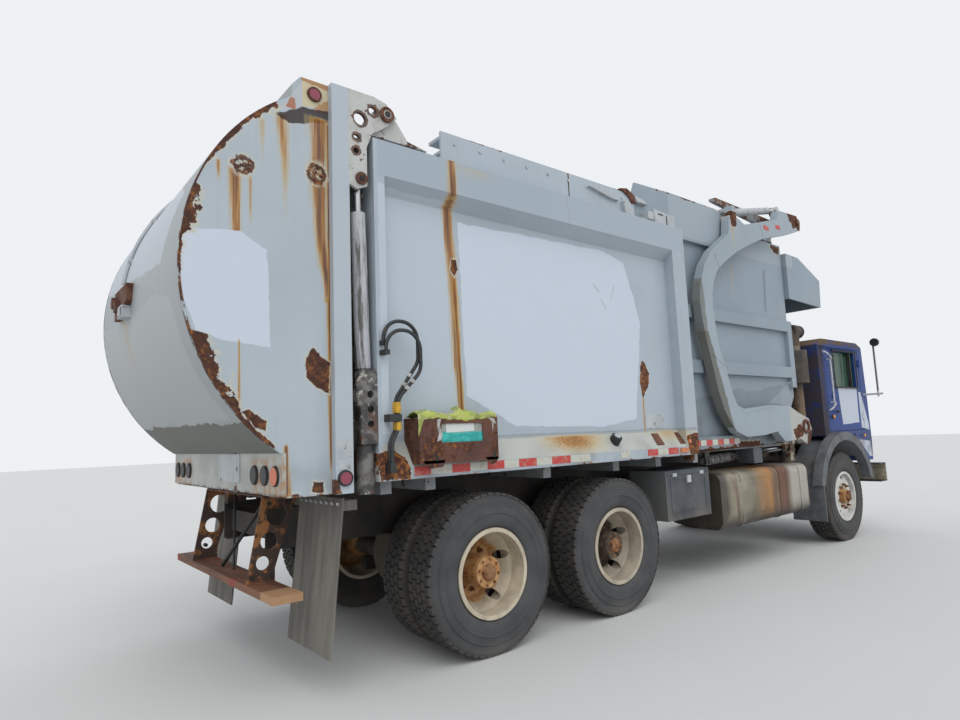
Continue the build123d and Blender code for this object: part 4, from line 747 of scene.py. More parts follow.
def bumperPaint():
    # Black flanges outside, cream paint left on the inside of the front wall
    finish = Finish("bumperPaint")
    inside = finish.x.rise(station(7.135), station(7.145)) * finish.z.rise(0.642, 0.646)
    inside = inside * finish.z.fall(0.864, 0.868) * finish.x.fall(station(7.160), station(7.168))
    wear = finish.noise(9, 5).rise(0.45, 0.6)
    cream = finish.mix(wear, palette["cream"], bumperTones["worn"])
    black = finish.mix(finish.noise(7, 5).rise(0.4, 0.7), *bumperTones["black"])
    return finish.done(finish.mix(inside, black, cream), 0.5 + wear * 0.2, wear, 0.001)


mirrorTones = {"white": (0.50, 0.51, 0.52), "worn": (0.10, 0.07, 0.05), "rod": (0.07, 0.06, 0.05)}


def mirrorPaint():
    # White arms and grab handles, black mirror heads
    finish = Finish("mirrorPaint")
    head = finish.reach(station(6.885), 2.54).fall(0.07, 0.075)
    wear = finish.noise(30, 5).rise(0.58, 0.64) * 0.8
    white = finish.mix(wear, mirrorTones["white"], mirrorTones["worn"])
    rod = finish.z.rise(1.86, 1.88) * finish.x.rise(4.0, 4.1)
    white = finish.mix(rod * 0.85, white, mirrorTones["rod"])
    return finish.done(finish.mix(head, white, palette["black"]), 0.38, wear, 0.0005)


cleanerTones = {"stack": ((0.035, 0.03, 0.027), (0.095, 0.068, 0.045)), "band": (0.22, 0.19, 0.15),
                "pipe": (0.16, 0.11, 0.065)}


def cleanerPaint():
    # The intake stack: brown dust over dark paint, a pale band below its hood
    finish = Finish("cleanerPaint")
    cloud = finish.noise(7, 5)
    colour = finish.mix(cloud.rise(0.35, 0.65), *cleanerTones["stack"])
    band = finish.z.rise(2.37, 2.385) * finish.z.fall(2.43, 2.45)
    colour = finish.mix(band * 0.8, colour, cleanerTones["band"])
    pipe = finish.z.fall(1.75, 1.9)
    colour = finish.mix(pipe * cloud.rise(0.3, 0.6), colour, cleanerTones["pipe"])
    hood = finish.z.rise(2.56, 2.6) * finish.x.rise(station(5.40), station(5.42))
    colour = finish.mix(hood, colour, palette["black"])
    return finish.done(colour, 0.5 + cloud * 0.3, finish.noise(40, 5), 0.002)


stepTones = {"plates": ((0.055, 0.032, 0.024), (0.30, 0.125, 0.04)),
             "plank": ((0.20, 0.085, 0.045), (0.11, 0.05, 0.032)),
             "red": (0.26, 0.035, 0.03), "wood": ((0.42, 0.24, 0.13), (0.32, 0.18, 0.09))}


def stepRust():
    # Dark brown plates with rust-orange edges, red paint left on the plank and a wooden right end
    finish = Finish("stepRust")
    edge = finish.noise(9, 6, rough=0.7)
    colour = finish.mix(edge.rise(0.50, 0.58), *stepTones["plates"])
    plank = finish.z.fall(0.625, 0.63)
    grain = finish.noise(14, 5, (1, 0.1, 1))
    board = finish.mix(grain.rise(0.4, 0.6), *stepTones["plank"])
    red = finish.noise(4, 5).rise(0.56, 0.60)
    board = finish.mix(red * 0.8, board, stepTones["red"])
    wood = finish.y.fall(-0.86, -0.82)
    board = finish.mix(wood, board, finish.mix(grain, *stepTones["wood"]))
    return finish.done(finish.mix(plank, colour, board), 0.7, edge + grain, 0.003)


boxTones = {"black": ((0.036, 0.042, 0.050), (0.080, 0.088, 0.098)), "rear": (0.13, 0.135, 0.135),
            "dust": (0.15, 0.13, 0.10)}


def boxPlastic():
    # Black boxes with brown dust, paler on the rear face
    finish = Finish("boxPlastic")
    cloud = finish.noise(5, 5)
    colour = finish.mix(cloud.rise(0.3, 0.7), *boxTones["black"])
    rear = finish.x.fall(station(2.085), station(2.09))
    colour = finish.mix(rear, colour, boxTones["rear"])
    dust = finish.z.fall(0.62, 0.85) * cloud.rise(0.3, 0.6) * 0.6
    colour = finish.mix(dust, colour, boxTones["dust"])
    return finish.done(colour, 0.5 + dust * 0.2, finish.noise(70, 4), 0.001)


kitTones = {"teal": ((0.02, 0.33, 0.30), (0.05, 0.46, 0.42)), "worn": (0.30, 0.31, 0.28),
            "label": (0.60, 0.62, 0.60),
            "labelAt": ((-2.97, 1.562), (-2.97, 1.502), (-2.74, 1.508), (-2.74, 1.568)),
            "cover": ((0.42, 0.47, 0.10), (0.26, 0.30, 0.07)), "coverPale": (0.55, 0.53, 0.36)}


def kitCloth():
    # Coated cloth, teal below and grey where it is worn, pale label left blank
    finish = Finish("kitCloth")
    cloud = finish.noise(14, 5, (1, 1, 1.8))
    colour = finish.mix(cloud.rise(0.42, 0.60), *kitTones["teal"])
    worn = (finish.z + (cloud - 0.5) * 0.05).rise(1.495, 1.515)
    colour = finish.mix(worn, colour, kitTones["worn"])
    label = finish.depth(kitTones["labelAt"], 0.006)
    colour = finish.mix(label.rise(-0.002, 0.002), colour, kitTones["label"])
    weave = finish.cells(380)
    return finish.done(colour, 0.5 + cloud * 0.2, cloud + weave * 0.05, 0.003)


def coverCloth():
    finish = Finish("coverCloth")
    folds = finish.noise(18, 5, (0.6, 1, 1))
    colour = finish.mix(folds.rise(0.42, 0.60), *kitTones["cover"])
    colour = finish.mix(finish.noise(30, 5).rise(0.56, 0.62) * 0.6, colour, kitTones["coverPale"])
    weave = finish.cells(420)
    return finish.done(colour, 0.6, folds + weave * 0.05, 0.003)


def tintedGlass():
    finish = Finish("tintedGlass")
    dirt = finish.noise(4, 4).rise(0.3, 0.8)
    colour = finish.mix(dirt, (0.015, 0.075, 0.035), (0.04, 0.11, 0.06))
    return finish.done(colour, 0.06 + dirt * 0.1, alpha=0.62)


def lens(name, tone):
    finish = Finish(name)
    rings = finish.cells(220)
    colour = finish.mix(rings.rise(0.0, 0.3), [part * 0.6 for part in tone], tone)
    return finish.done(colour, 0.15 + rings * 0.2, rings, 0.001, coat=0.5)


def cabLamps():
    finish = Finish("cabLamps")
    rings = finish.cells(220)
    headlamp = finish.across(0.60, 0.62) * (1 - finish.across(0.946, 0.950)) * finish.z.fall(2.0, 2.1)
    colour = finish.mix(headlamp, (0.75, 0.25, 0.03), (0.50, 0.53, 0.56))
    return finish.done(colour, 0.15 + rings * 0.2, rings, 0.001, coat=0.5)


def reflector(name, tone):
    finish = Finish(name)
    facets = finish.cells(260)
    wear = finish.noise(24, 5, rough=0.7).rise(0.52, 0.58)
    colour = finish.mix(facets.rise(0.0, 0.2) * 0.4, tone, [part * 0.8 for part in tone])
    colour = finish.mix(wear * 0.45, colour, (0.40, 0.31, 0.22))
    return finish.done(colour, 0.35 + wear * 0.3, facets, 0.0006)


orangeDish = ((0.30, (0.12, 0.045, 0.02)), (0.46, (0.40, 0.19, 0.065)), (0.66, (0.50, 0.34, 0.17)))
brownDish = ((0.32, palette["black"]), (0.52, (0.075, 0.055, 0.04)), (0.70, (0.22, 0.14, 0.08)))
finishes = {
    "gatePaint": weatheredPaint("gatePaint", gateLook),
    "bodyPaint": weatheredPaint("bodyPaint", bodyLook),
    "roofPaint": weatheredPaint("roofPaint", roofLook),
    "hopperPaint": weatheredPaint("hopperPaint", hopperLook),
    "armPaint": weatheredPaint("armPaint", armLook),
    "gateFramePaint": gateFramePaint(),
    "bracketPaint": bracketPaint(),
    "cylinderPaint": cylinderPaint(),
    "tyreRubber": tyreRubber(),
    "rimRear": rimPaint("rimRear", {"x": axleX["rear"], "rust": 0.222, "tone": (0.56, 0.49, 0.37),
                                    "dish": orangeDish}),
    "rimMid": rimPaint("rimMid", {"x": axleX["mid"], "rust": 0.214, "tone": (0.47, 0.41, 0.32),
                                  "dish": brownDish}),
    "rimFront": rimPaint("rimFront", {"x": axleX["front"], "rust": 0.100, "tone": (0.62, 0.62, 0.58),
                                      "dish": orangeDish}),
    "tankMetal": tankMetal(),
    "cabBlue": cabBlue(),
    "lampLenses": lampLenses(),
    "bumperPaint": bumperPaint(),
    "mirrorPaint": mirrorPaint(),
    "cleanerPaint": cleanerPaint(),
    "stepRust": stepRust(),
    "boxPlastic": boxPlastic(),
    "kitCloth": kitCloth(),
    "coverCloth": coverCloth(),
    "tintedGlass": tintedGlass(),
    "cabLamps": cabLamps(),
    "rodChrome": dirtyMetal("rodChrome", {"tones": ((0.62, 0.62, 0.62), (0.5, 0.5, 0.5)), "rough": 0.14,
                                          "metallic": 1.0, "depth": 0.0003}),
    "frameBlack": dirtyMetal("frameBlack", {"tones": ((0.012, 0.012, 0.013), (0.03, 0.028, 0.026)),
                                            "rough": 0.6, "dust": 0.25, "rust": 0.12}),
    "castIron": dirtyMetal("castIron", {"tones": ((0.03, 0.027, 0.024), (0.07, 0.06, 0.05)), "rough": 0.7,
                                        "dust": 0.5, "rust": 0.3, "depth": 0.003}),
    "hubRust": dirtyMetal("hubRust", {"tones": ((0.16, 0.075, 0.035), (0.32, 0.17, 0.075)), "rough": 0.75,
                                      "scale": 12, "rust": 0.5, "light": 0.06, "depth": 0.003}),
    "rustySteel": dirtyMetal("rustySteel", {"tones": ((0.085, 0.036, 0.027), (0.15, 0.062, 0.035)),
                                            "rough": 0.75, "rust": 0.42, "depth": 0.004}),
    "wornSteel": dirtyMetal("wornSteel", {"tones": ((0.20, 0.21, 0.21), (0.30, 0.31, 0.31)), "rough": 0.5,
                                          "rust": 0.48, "rustScale": 4, "light": 0.04}),
    "cabTrim": dirtyMetal("cabTrim", {"tones": ((0.03, 0.03, 0.033), (0.055, 0.055, 0.058)), "rough": 0.65}),
    "gasket": dirtyMetal("gasket", {"tones": ((0.012, 0.012, 0.013), (0.028, 0.027, 0.026)), "rough": 0.6}),
    "fenderPlastic": dirtyMetal("fenderPlastic", {"tones": ((0.06, 0.069, 0.082), (0.13, 0.145, 0.165)),
                                                  "rough": 0.5, "dust": 0.25}),
    "flapRubber": dirtyMetal("flapRubber", {"tones": ((0.10, 0.095, 0.085), (0.20, 0.185, 0.155)),
                                            "rough": 0.7, "stretch": (1, 1, 0.1), "scale": 9}),
    "hoseRubber": dirtyMetal("hoseRubber", {"tones": ((0.014, 0.014, 0.015), (0.04, 0.04, 0.038)),
                                            "rough": 0.5}),
    "floorPaint": dirtyMetal("floorPaint", {"tones": ((0.20, 0.215, 0.22), (0.27, 0.285, 0.29)),
                                            "rough": 0.6, "rust": 0.2}),
    "paleSteel": dirtyMetal("paleSteel", {"tones": ((0.36, 0.39, 0.41), (0.46, 0.48, 0.49)), "rough": 0.5,
                                          "rust": 0.22, "rustScale": 14}),
    "yellowSleeve": dirtyMetal("yellowSleeve", {"tones": ((0.62, 0.36, 0.02), (0.42, 0.24, 0.03)),
                                                "rough": 0.5, "scale": 14}),
    "whiteWrap": dirtyMetal("whiteWrap", {"tones": ((0.48, 0.47, 0.45), (0.25, 0.24, 0.22)), "rough": 0.6,
                                          "scale": 30}),
    "redTape": reflector("redTape", (0.50, 0.045, 0.04)),
    "paleTape": reflector("paleTape", (0.52, 0.53, 0.46)),
    "lensOrange": lens("lensOrange", (0.70, 0.20, 0.05)),
    "lensAmber": lens("lensAmber", (0.75, 0.25, 0.03)),
    "lensDark": lens("lensDark", (0.012, 0.012, 0.013)),
}
print("finishes made:", len(finishes))

nodeFinish = {
    "gatePaint": ("tailgate_shell",), "gateFramePaint": ("tailgate_frame",), "bodyPaint": ("body_sides",),
    "roofPaint": ("body_roof", "top_door"),
    "hopperPaint": ("hopper_sides", "hopper_top_sides", "hopper_front"),
    "armPaint": ("lift_arms",), "bracketPaint": ("body_brackets",), "floorPaint": ("body_floor",),
    "cylinderPaint": ("tailgate_cylinder_barrels", "lift_cylinder_barrels", "fork_cylinder_barrels"),
    "rodChrome": ("tailgate_cylinder_rods", "lift_cylinder_rods", "fork_cylinder_rods"),
    "rimRear": ("rims_rear_left", "rims_rear_right"), "rimMid": ("rims_mid_left", "rims_mid_right"),
    "rimFront": ("rim_front_left", "rim_front_right"), "tankMetal": ("fuel_tank",),
    "cabBlue": ("cab_shell", "door_left", "door_right"),
    "tintedGlass": ("cab_glass", "door_glass_left", "door_glass_right"),
    "frameBlack": ("chassis_frame", "subframe", "suspension"), "bumperPaint": ("front_bumper",),
    "castIron": ("front_axle", "knuckle_left", "knuckle_right", "rear_axles", "engine_and_gearbox"),
    "boxPlastic": ("equipment_boxes",), "rustySteel": ("spill_kit_holder", "camera_box"),
    "stepRust": ("rear_step",), "lampLenses": ("tail_lamps",), "kitCloth": ("spill_kit_bag",),
    "wornSteel": ("packer_panel", "fork_carriage"), "cabTrim": ("cab_interior",),
    "fenderPlastic": ("front_fenders",), "mirrorPaint": ("mirrors",), "cleanerPaint": ("air_cleaner",),
    "flapRubber": ("mudflaps",), "hoseRubber": ("hydraulic_hoses",), "cabLamps": ("cab_lamps",),
    "tyreRubber": tuple(name for name in nodes if name.startswith("tyre")),
}
for finishName, members in nodeFinish.items():
    for member in members:
        nodes[member].data.materials.clear()
        nodes[member].data.materials.append(finishes[finishName])
print("nodes painted")


# Meshes
class Shape:
    # Gathers closed solids in one mesh
    def __init__(self):
        self.mesh = bmesh.new()

    def solid(self, rings, closed=False):
        # Joins rings of points, each as long as the next, into a skin that is capped unless it is closed
        loops = [[self.mesh.verts.new(point) for point in ring] for ring in rings]
        count = len(loops[0])
        faces = []
        for index in range(len(loops) if closed else len(loops) - 1):
            near, far = loops[index], loops[(index + 1) % len(loops)]
            for corner in range(count):
                following = (corner + 1) % count
                quad = (near[corner], near[following], far[following], far[corner])
                faces.append(self.mesh.faces.new(quad))
        if not closed:
            faces.append(self.mesh.faces.new(loops[0][::-1]))
            faces.append(self.mesh.faces.new(loops[-1]))
        bmesh.ops.recalc_face_normals(self.mesh, faces=faces)

    def box(self, low, high):
        corners = [(low[0], low[1]), (high[0], low[1]), (high[0], high[1]), (low[0], high[1])]
        self.solid([[(x, y, z) for x, y in corners] for z in (low[2], high[2])])

    def slab(self, outline, span, axis="y"):
        # An outline across one axis: (x, z) points for y, (y, z) points for x
        order = {"x": (2, 0, 1), "y": (0, 2, 1)}[axis]
        self.solid([[[(a, b, depth)[index] for index in order] for a, b in outline] for depth in span])

    def rod(self, start, end, radius, count=16):
        self.tube((start, end), radius, count)

    def tube(self, points, radius, count=10):
        points = [Vector(point) for point in points]
        circle = [Vector((radius * cos(2 * pi * step / count), radius * sin(2 * pi * step / count), 0))
                  for step in range(count)]
        rings = []
        for index, point in enumerate(points):
            ahead = points[min(index + 1, len(points) - 1)] - points[max(index - 1, 0)]
            turn = ahead.to_track_quat("Z", "Y")
            rings.append([point + turn @ corner for corner in circle])
        self.solid(rings)

    def lathe(self, profile, centre, axis="y", count=48):
        # A closed outline of (along the axis, radius) points turned about the axis
        rings = []
        for step in range(count):
            angle = 2 * pi * step / count
            across, up = cos(angle), sin(angle)
            ring = []
            for place, radius in profile:
                offset = {"x": (place, radius * across, radius * up),
                          "y": (radius * across, place, radius * up)}[axis]
                ring.append(Vector(centre) + Vector(offset))
            rings.append(ring)
        self.solid(rings, closed=True)

    def plain(self, name="part"):
        mesh = bpy.data.meshes.new(name)
        self.mesh.to_mesh(mesh)
        self.mesh.free()
        return mesh

    def done(self, name, finishName, body, slotName, bevel=0.0, smooth=False, replaced=()):
        # The finished piece, which rides on a body and may stand in for nodes of the CAD
        piece = linked(name, self.plain(name))
        piece.data.materials.append(finishes[finishName])
        if bevel:
            edge = piece.modifiers.new("edge", "BEVEL")
            edge.width = bevel
            edge.segments = 2
            edge.limit_method = "ANGLE"
            edge.angle_limit = radians(40)
            flatten(piece)
        if smooth:
            piece.data.shade_smooth()
            piece.data.set_sharp_from_angle(angle=radians(35))
        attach(piece, body)
        if replaced:
            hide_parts(*replaced)
        return piece


def linked(name, data):
    thing = bpy.data.objects.new(name, data)
    bpy.context.scene.collection.objects.link(thing)
    return thing


def flatten(piece):
    # Turns what the modifiers make into the piece's plain mesh
    graph = bpy.context.evaluated_depsgraph_get()
    result = bpy.data.meshes.new_from_object(piece.evaluated_get(graph))
    piece.modifiers.clear()
    piece.data = result


# Two trees that repeat a small solid: round an axis across the truck, or along a line
def newTree(name, inputs):
    tree = bpy.data.node_groups.new(name, "GeometryNodeTree")
    tree.interface.new_socket(name="Geometry", in_out="INPUT", socket_type="NodeSocketGeometry")
    for label, kind in inputs:
        tree.interface.new_socket(name=label, in_out="INPUT", socket_type="NodeSocket" + kind)
    tree.interface.new_socket(name="Geometry", in_out="OUTPUT", socket_type="NodeSocketGeometry")
    source = addNode(tree, "NodeGroupInput")
    return tree, {socket.name: Flow(tree, socket) for socket in source.outputs if socket.name}


def closeTree(tree, instances, given):
    real = made(tree, "GeometryNodeRealizeInstances", None, {0: instances})
    painted = made(tree, "GeometryNodeSetMaterial", None, {0: real, "Material": given["Material"]})
    addNode(tree, "NodeGroupOutput", None, {0: painted})
    return tree


def ringTree():
    tree, given = newTree("ringOfPieces", (("Count", "Int"), ("Centre", "Vector"), ("Turn", "Float"),
                                           ("Material", "Material")))
    points = made(tree, "GeometryNodePoints", None, {"Count": given["Count"], "Position": given["Centre"]})
    angle = made(tree, "GeometryNodeInputIndex") * (2 * pi) / given["Count"] + given["Turn"]
    turned = made(tree, "ShaderNodeCombineXYZ", None, {"Y": angle})
    rotation = made(tree, "FunctionNodeEulerToRotation", None, {0: turned})
    placed = made(tree, "GeometryNodeInstanceOnPoints", None,
                  {"Points": points, "Instance": given["Geometry"], "Rotation": rotation})
    return closeTree(tree, placed, given)


def rowTree():
    tree, given = newTree("rowOfPieces", (("Count", "Int"), ("Start", "Vector"), ("Step", "Vector"),
                                          ("Material", "Material")))
    line = made(tree, "GeometryNodeMeshLine", {"mode": "OFFSET"},
                {"Count": given["Count"], "Start Location": given["Start"], "Offset": given["Step"]})
    placed = made(tree, "GeometryNodeInstanceOnPoints", None, {"Points": line, "Instance": given["Geometry"]})
    return closeTree(tree, placed, given)


trees = {"ring": ringTree(), "row": rowTree()}


def repeated(shape, kind, values, finishName):
    # Repeats a shape by one of the trees and gives back the plain mesh
    holder = linked("source", shape.plain("source"))
    modifier = holder.modifiers.new("repeat", "NODES")
    modifier.node_group = trees[kind]
    items = trees[kind].interface.items_tree
    names = {item.name: item.identifier for item in items if item.in_out == "INPUT"}
    for label, value in {**values, "Material": finishes[finishName]}.items():
        modifier[names[label]] = value
    flatten(holder)
    result = holder.data
    bpy.data.objects.remove(holder)
    return result


def gathered(name, meshes, finishName, body, slotName, smooth=False, replaced=()):
    # One piece out of several meshes that share a finish
    whole = Shape()
    for mesh in meshes:
        whole.mesh.from_mesh(mesh)
    return whole.done(name, finishName, body, slotName, smooth=smooth, replaced=replaced)


# Tyres: a turned carcass with rows of tread blocks round it
treadSizes = {"blocks": 54, "groove": 0.009, "depth": 0.013, "gap": 0.010, "rows": 5, "share": 0.84,
              "sideRib": 0.004, "rim": 0.2865, "twins": (0.752, 1.080), "twinWidth": 0.276,
              "frontWidth": 0.312}


def tyreMeshes(x, middleY, width):
    half = width / 2
    tread = half * treadSizes["share"]
    radius, rim, rib = tyreRadius, treadSizes["rim"], treadSizes["sideRib"]
    floorRadius = radius - treadSizes["depth"]
    edge = ((half - 0.026, rim), (half - 0.026, rim + 0.022), (half - 0.012, rim + 0.036),
            (half - 0.004, rim + 0.075), (half - 0.002, rim + 0.110), (half - 0.002 + rib, rim + 0.114),
            (half - 0.002 + rib, rim + 0.122), (half - 0.003, rim + 0.126), (half - 0.008, rim + 0.165),
            (half - 0.010 + rib, rim + 0.168), (half - 0.012 + rib, rim + 0.175), (half - 0.015, rim + 0.179),
            (tread + 0.006, radius - 0.036), (tread, floorRadius))
    carcass = Shape()
    carcass.lathe([(-across, height) for across, height in edge] + list(edge[::-1]),
                  (x, middleY, radius), "y", 72)
    meshes = [carcass.plain()]
    reach = (2 * pi * radius / treadSizes["blocks"] - treadSizes["gap"]) / 2
    last = treadSizes["rows"] - 1
    rowWidth = (2 * tread - last * treadSizes["groove"]) / treadSizes["rows"]
    for row in range(treadSizes["rows"]):
        low = -tread + row * (rowWidth + treadSizes["groove"])
        high = low + rowWidth
        middle = (low + high) / 2
        slant = 0.0 if row in (0, last) else 0.010 * (1 if row % 2 else -1)
        foot = (floorRadius - 0.004, 0.0, low - 0.006 * (row == 0), high + 0.006 * (row == last))
        top = (radius, 0.002, low + 0.002, high - 0.002)
        rings = []
        for height, spread, lowEdge, highEdge in (foot, top):
            back, ahead = spread - reach, reach - spread
            rings.append([(back - slant, lowEdge, height), (ahead - slant, lowEdge, height),
                          (ahead, middle, height), (ahead - slant, highEdge, height),
                          (back - slant, highEdge, height), (back, middle, height)])
        block = Shape()
        block.solid(rings)
        meshes.append(repeated(block, "ring", {"Count": treadSizes["blocks"], "Centre": (x, middleY, radius),
                                               "Turn": pi * (row % 2) / treadSizes["blocks"]}, "tyreRubber"))
    return meshes


def buildTyres():
    for hand, side in hands.items():
        for axle in ("rear", "mid"):
            node = f"tyres_{axle}_{hand}"
            low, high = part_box(node)
            meshes = []
            for place in treadSizes["twins"]:
                meshes += tyreMeshes((low.x + high.x) / 2, side * place, treadSizes["twinWidth"])
            gathered(f"{axle}Tyres_{hand}", meshes, "tyreRubber", f"wheels_{axle}_{hand}", "tyre",
                     smooth=True, replaced=(node,))
        node = f"tyre_front_{hand}"
        low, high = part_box(node)
        meshes = tyreMeshes((low.x + high.x) / 2, (low.y + high.y) / 2, treadSizes["frontWidth"])
        gathered(f"frontTyre_{hand}", meshes, "tyreRubber", f"wheel_front_{hand}", "tyre",
                 smooth=True, replaced=(node,))
    print("tyres made")


# Wheel nuts, studs and hub caps
hubSizes = {
    "nuts": 10, "circle": 0.1425, "nutRadius": 0.017, "nutHigh": 0.022, "stud": 0.010, "studHigh": 0.042,
    "capBolts": 8,
    "twin": {"face": 0.930, "cap": 1.140, "capRadius": 0.105},
    "front": {"face": 1.162, "cap": 1.212, "capRadius": 0.084},
}


def nutShape(side, circle, nut, stud):
    # A nut and its stud, each with a radius and a height
    shape = Shape()
    shape.rod((0, 0, circle), (0, side * nut[1], circle), nut[0], 6)
    shape.rod((0, 0, circle), (0, side * stud[1], circle), stud[0], 8)
    return shape


def buildHubs():
    for hand, side in hands.items():
        for axle, x in axleX.items():
            front = axle == "front"
            hub = hubSizes["front" if front else "twin"]
            nuts = nutShape(side, hubSizes["circle"], (hubSizes["nutRadius"], hubSizes["nutHigh"]),
                            (hubSizes["stud"], hubSizes["studHigh"]))
            bolts = nutShape(side, hub["capRadius"] - 0.018, (0.009, 0.008), (0.005, 0.012))
            cap = Shape()
            cap.lathe([(0, 0.002), (0, 0.058), (side * 0.022, 0.052), (side * 0.030, 0.030),
                       (side * 0.032, 0.002)], (x, side * hub["cap"], tyreRadius), "y", 24)
            meshes = [cap.plain()]
            for shape, count, y, turn in ((nuts, hubSizes["nuts"], hub["face"], 0.0),
                                          (bolts, hubSizes["capBolts"], hub["cap"], 0.2)):
                ring = {"Count": count, "Centre": (x, side * y, tyreRadius), "Turn": turn}
                meshes.append(repeated(shape, "ring", ring, "hubRust"))
            body = f"wheel_front_{hand}" if front else f"wheels_{axle}_{hand}"
            gathered(f"{axle}Hub_{hand}", meshes, "hubRust", body, "rim_cream", smooth=True)
    print("hubs made")


def outward(side, inner, outer):
    # A span of y on one side of the truck, from the lower value to the higher
    return sorted((side * inner, side * outer))


def ringOn(shape, place, side, face, radii, proud):
    # A bezel round a lamp or a pin at a place of x and z, stood on a face across the truck
    inner, outer = radii
    x, z = place
    shape.lathe([(-side * 0.002, inner), (-side * 0.002, outer), (side * proud, outer - 0.002),
                 (side * (proud + 0.002), (inner + outer) / 2), (side * proud, inner)],
                (x, side * face, z), "y", 28)


# Warning tape along the sill and below the hopper, with the small lamps between
tapeSizes = {
    "low": 1.240, "high": 1.296, "proud": 0.0025,
    "redTape": ((-0.632, -0.508), (-0.34, -0.189), (-0.04, 0.115), (0.254, 0.43), (0.589, 0.793),
                (1.767, 1.913), (2.065, 2.222)),
    "paleTape": ((-0.508, -0.34), (-0.189, -0.04), (0.115, 0.254), (0.43, 0.589), (0.793, 1.02),
                 (1.40, 1.52), (1.913, 2.065)),
    "hopperStart": 2.66, "hopperPitch": 0.21, "hopperCount": 4, "hopperLong": 0.100,
    "hopperFace": 1.112, "hopperLow": 1.285, "armTape": ((1.69, 1.81, 3.715), (1.99, 2.10, 3.775)),
    "armHigh": 0.05, "lamp": (2.25, 2.37), "lampHigh": (1.244, 1.290), "roundLamp": (2.40, 1.345),
}


def buildTape():
    proud = tapeSizes["proud"]
    for name, finishName, shift in (("sillRedTape", "redTape", 0.0), ("sillPaleTape", "paleTape", 0.105)):
        shape = Shape()
        for side in sides:
            y = outward(side, sideFace, 1.220 + proud)
            for rear, front in tapeSizes[finishName]:
                shape.box((station(rear), y[0], tapeSizes["low"]),
                          (station(front), y[1], tapeSizes["high"]))
        meshes = [shape.plain()]
        for side in sides:
            y = outward(side, -0.0005, proud)
            piece = Shape()
            piece.box((0, y[0], 0), (tapeSizes["hopperLong"], y[1], tapeSizes["high"] - tapeSizes["low"]))
            start = (station(tapeSizes["hopperStart"] + shift), side * tapeSizes["hopperFace"],
                     tapeSizes["hopperLow"])
            meshes.append(repeated(piece, "row", {"Count": tapeSizes["hopperCount"], "Start": start,
                                                  "Step": (tapeSizes["hopperPitch"], 0, 0)}, finishName))
        gathered(name, meshes, finishName, "truck", "lamp_red")
    arms = Shape()
    for side in sides:
        y = outward(side, sideFace, 1.220 + proud)
        for rear, front, z in tapeSizes["armTape"]:
            arms.box((rear, y[0], z), (front, y[1], z + tapeSizes["armHigh"]))
    arms.done("armTape", "redTape", "lift_arms", "lamp_red")
    lamps = Shape()
    for side in sides:
        y = outward(side, sideFace, 1.236)
        rear, front = (station(place) for place in tapeSizes["lamp"])
        low, high = tapeSizes["lampHigh"]
        lamps.box((rear, y[0], low), (front, y[1], high))
        x, z = station(tapeSizes["roundLamp"][0]), tapeSizes["roundLamp"][1]
        lamps.rod((x, side * 1.219, z), (x, side * 1.238, z), 0.020, 20)
    lamps.done("sillLamps", "lensOrange", "truck", "lamp_amber", 0.004)
    print("tape made")


# Caps, brackets and stubs on the sloped sill
sillSizes = {"capAt": 1.39, "capRadius": 0.046, "brackets": (1.987, 2.342), "stub": 2.50,
             "plate": (1.90, 2.16), "bracketHalf": 0.055, "bracketY": (1.118, 1.205)}


def buildSill():
    dark, rusty, pale = Shape(), Shape(), Shape()
    for side in sides:
        x = station(sillSizes["capAt"])
        dark.rod((x, side * 1.150, 1.355), (x, side * 1.205, 1.425), sillSizes["capRadius"], 24)
        pale.rod((x, side * 1.203, 1.4225), (x, side * 1.208, 1.429), sillSizes["capRadius"] * 0.62, 20)
        for place in sillSizes["brackets"]:
            inner, outer = (side * y for y in sillSizes["bracketY"])
            half = sillSizes["bracketHalf"]
            rusty.slab(((inner, 1.34), (outer, 1.315), (outer, 1.335), (inner, 1.46)),
                       (station(place) - half, station(place) + half), "x")
        stub = station(sillSizes["stub"])
        y = outward(side, 1.10, 1.19)
        rusty.box((stub - 0.03, y[0], 1.165), (stub + 0.02, y[1], 1.225))
        rear, front = (station(place) for place in sillSizes["plate"])
        pale.slab(((rear, 1.605), (front, 1.60), (front, 1.475), (rear, 1.48)), outward(side, 1.119, 1.124))
    dark.done("sillCaps", "gasket", "truck", "black_frame", 0.003)
    rusty.done("sillBrackets", "rustySteel", "truck", "rusty_steel", 0.003)
    pale.done("sillPlates", "paleSteel", "truck", "body_paint")
    print("sill dressed")


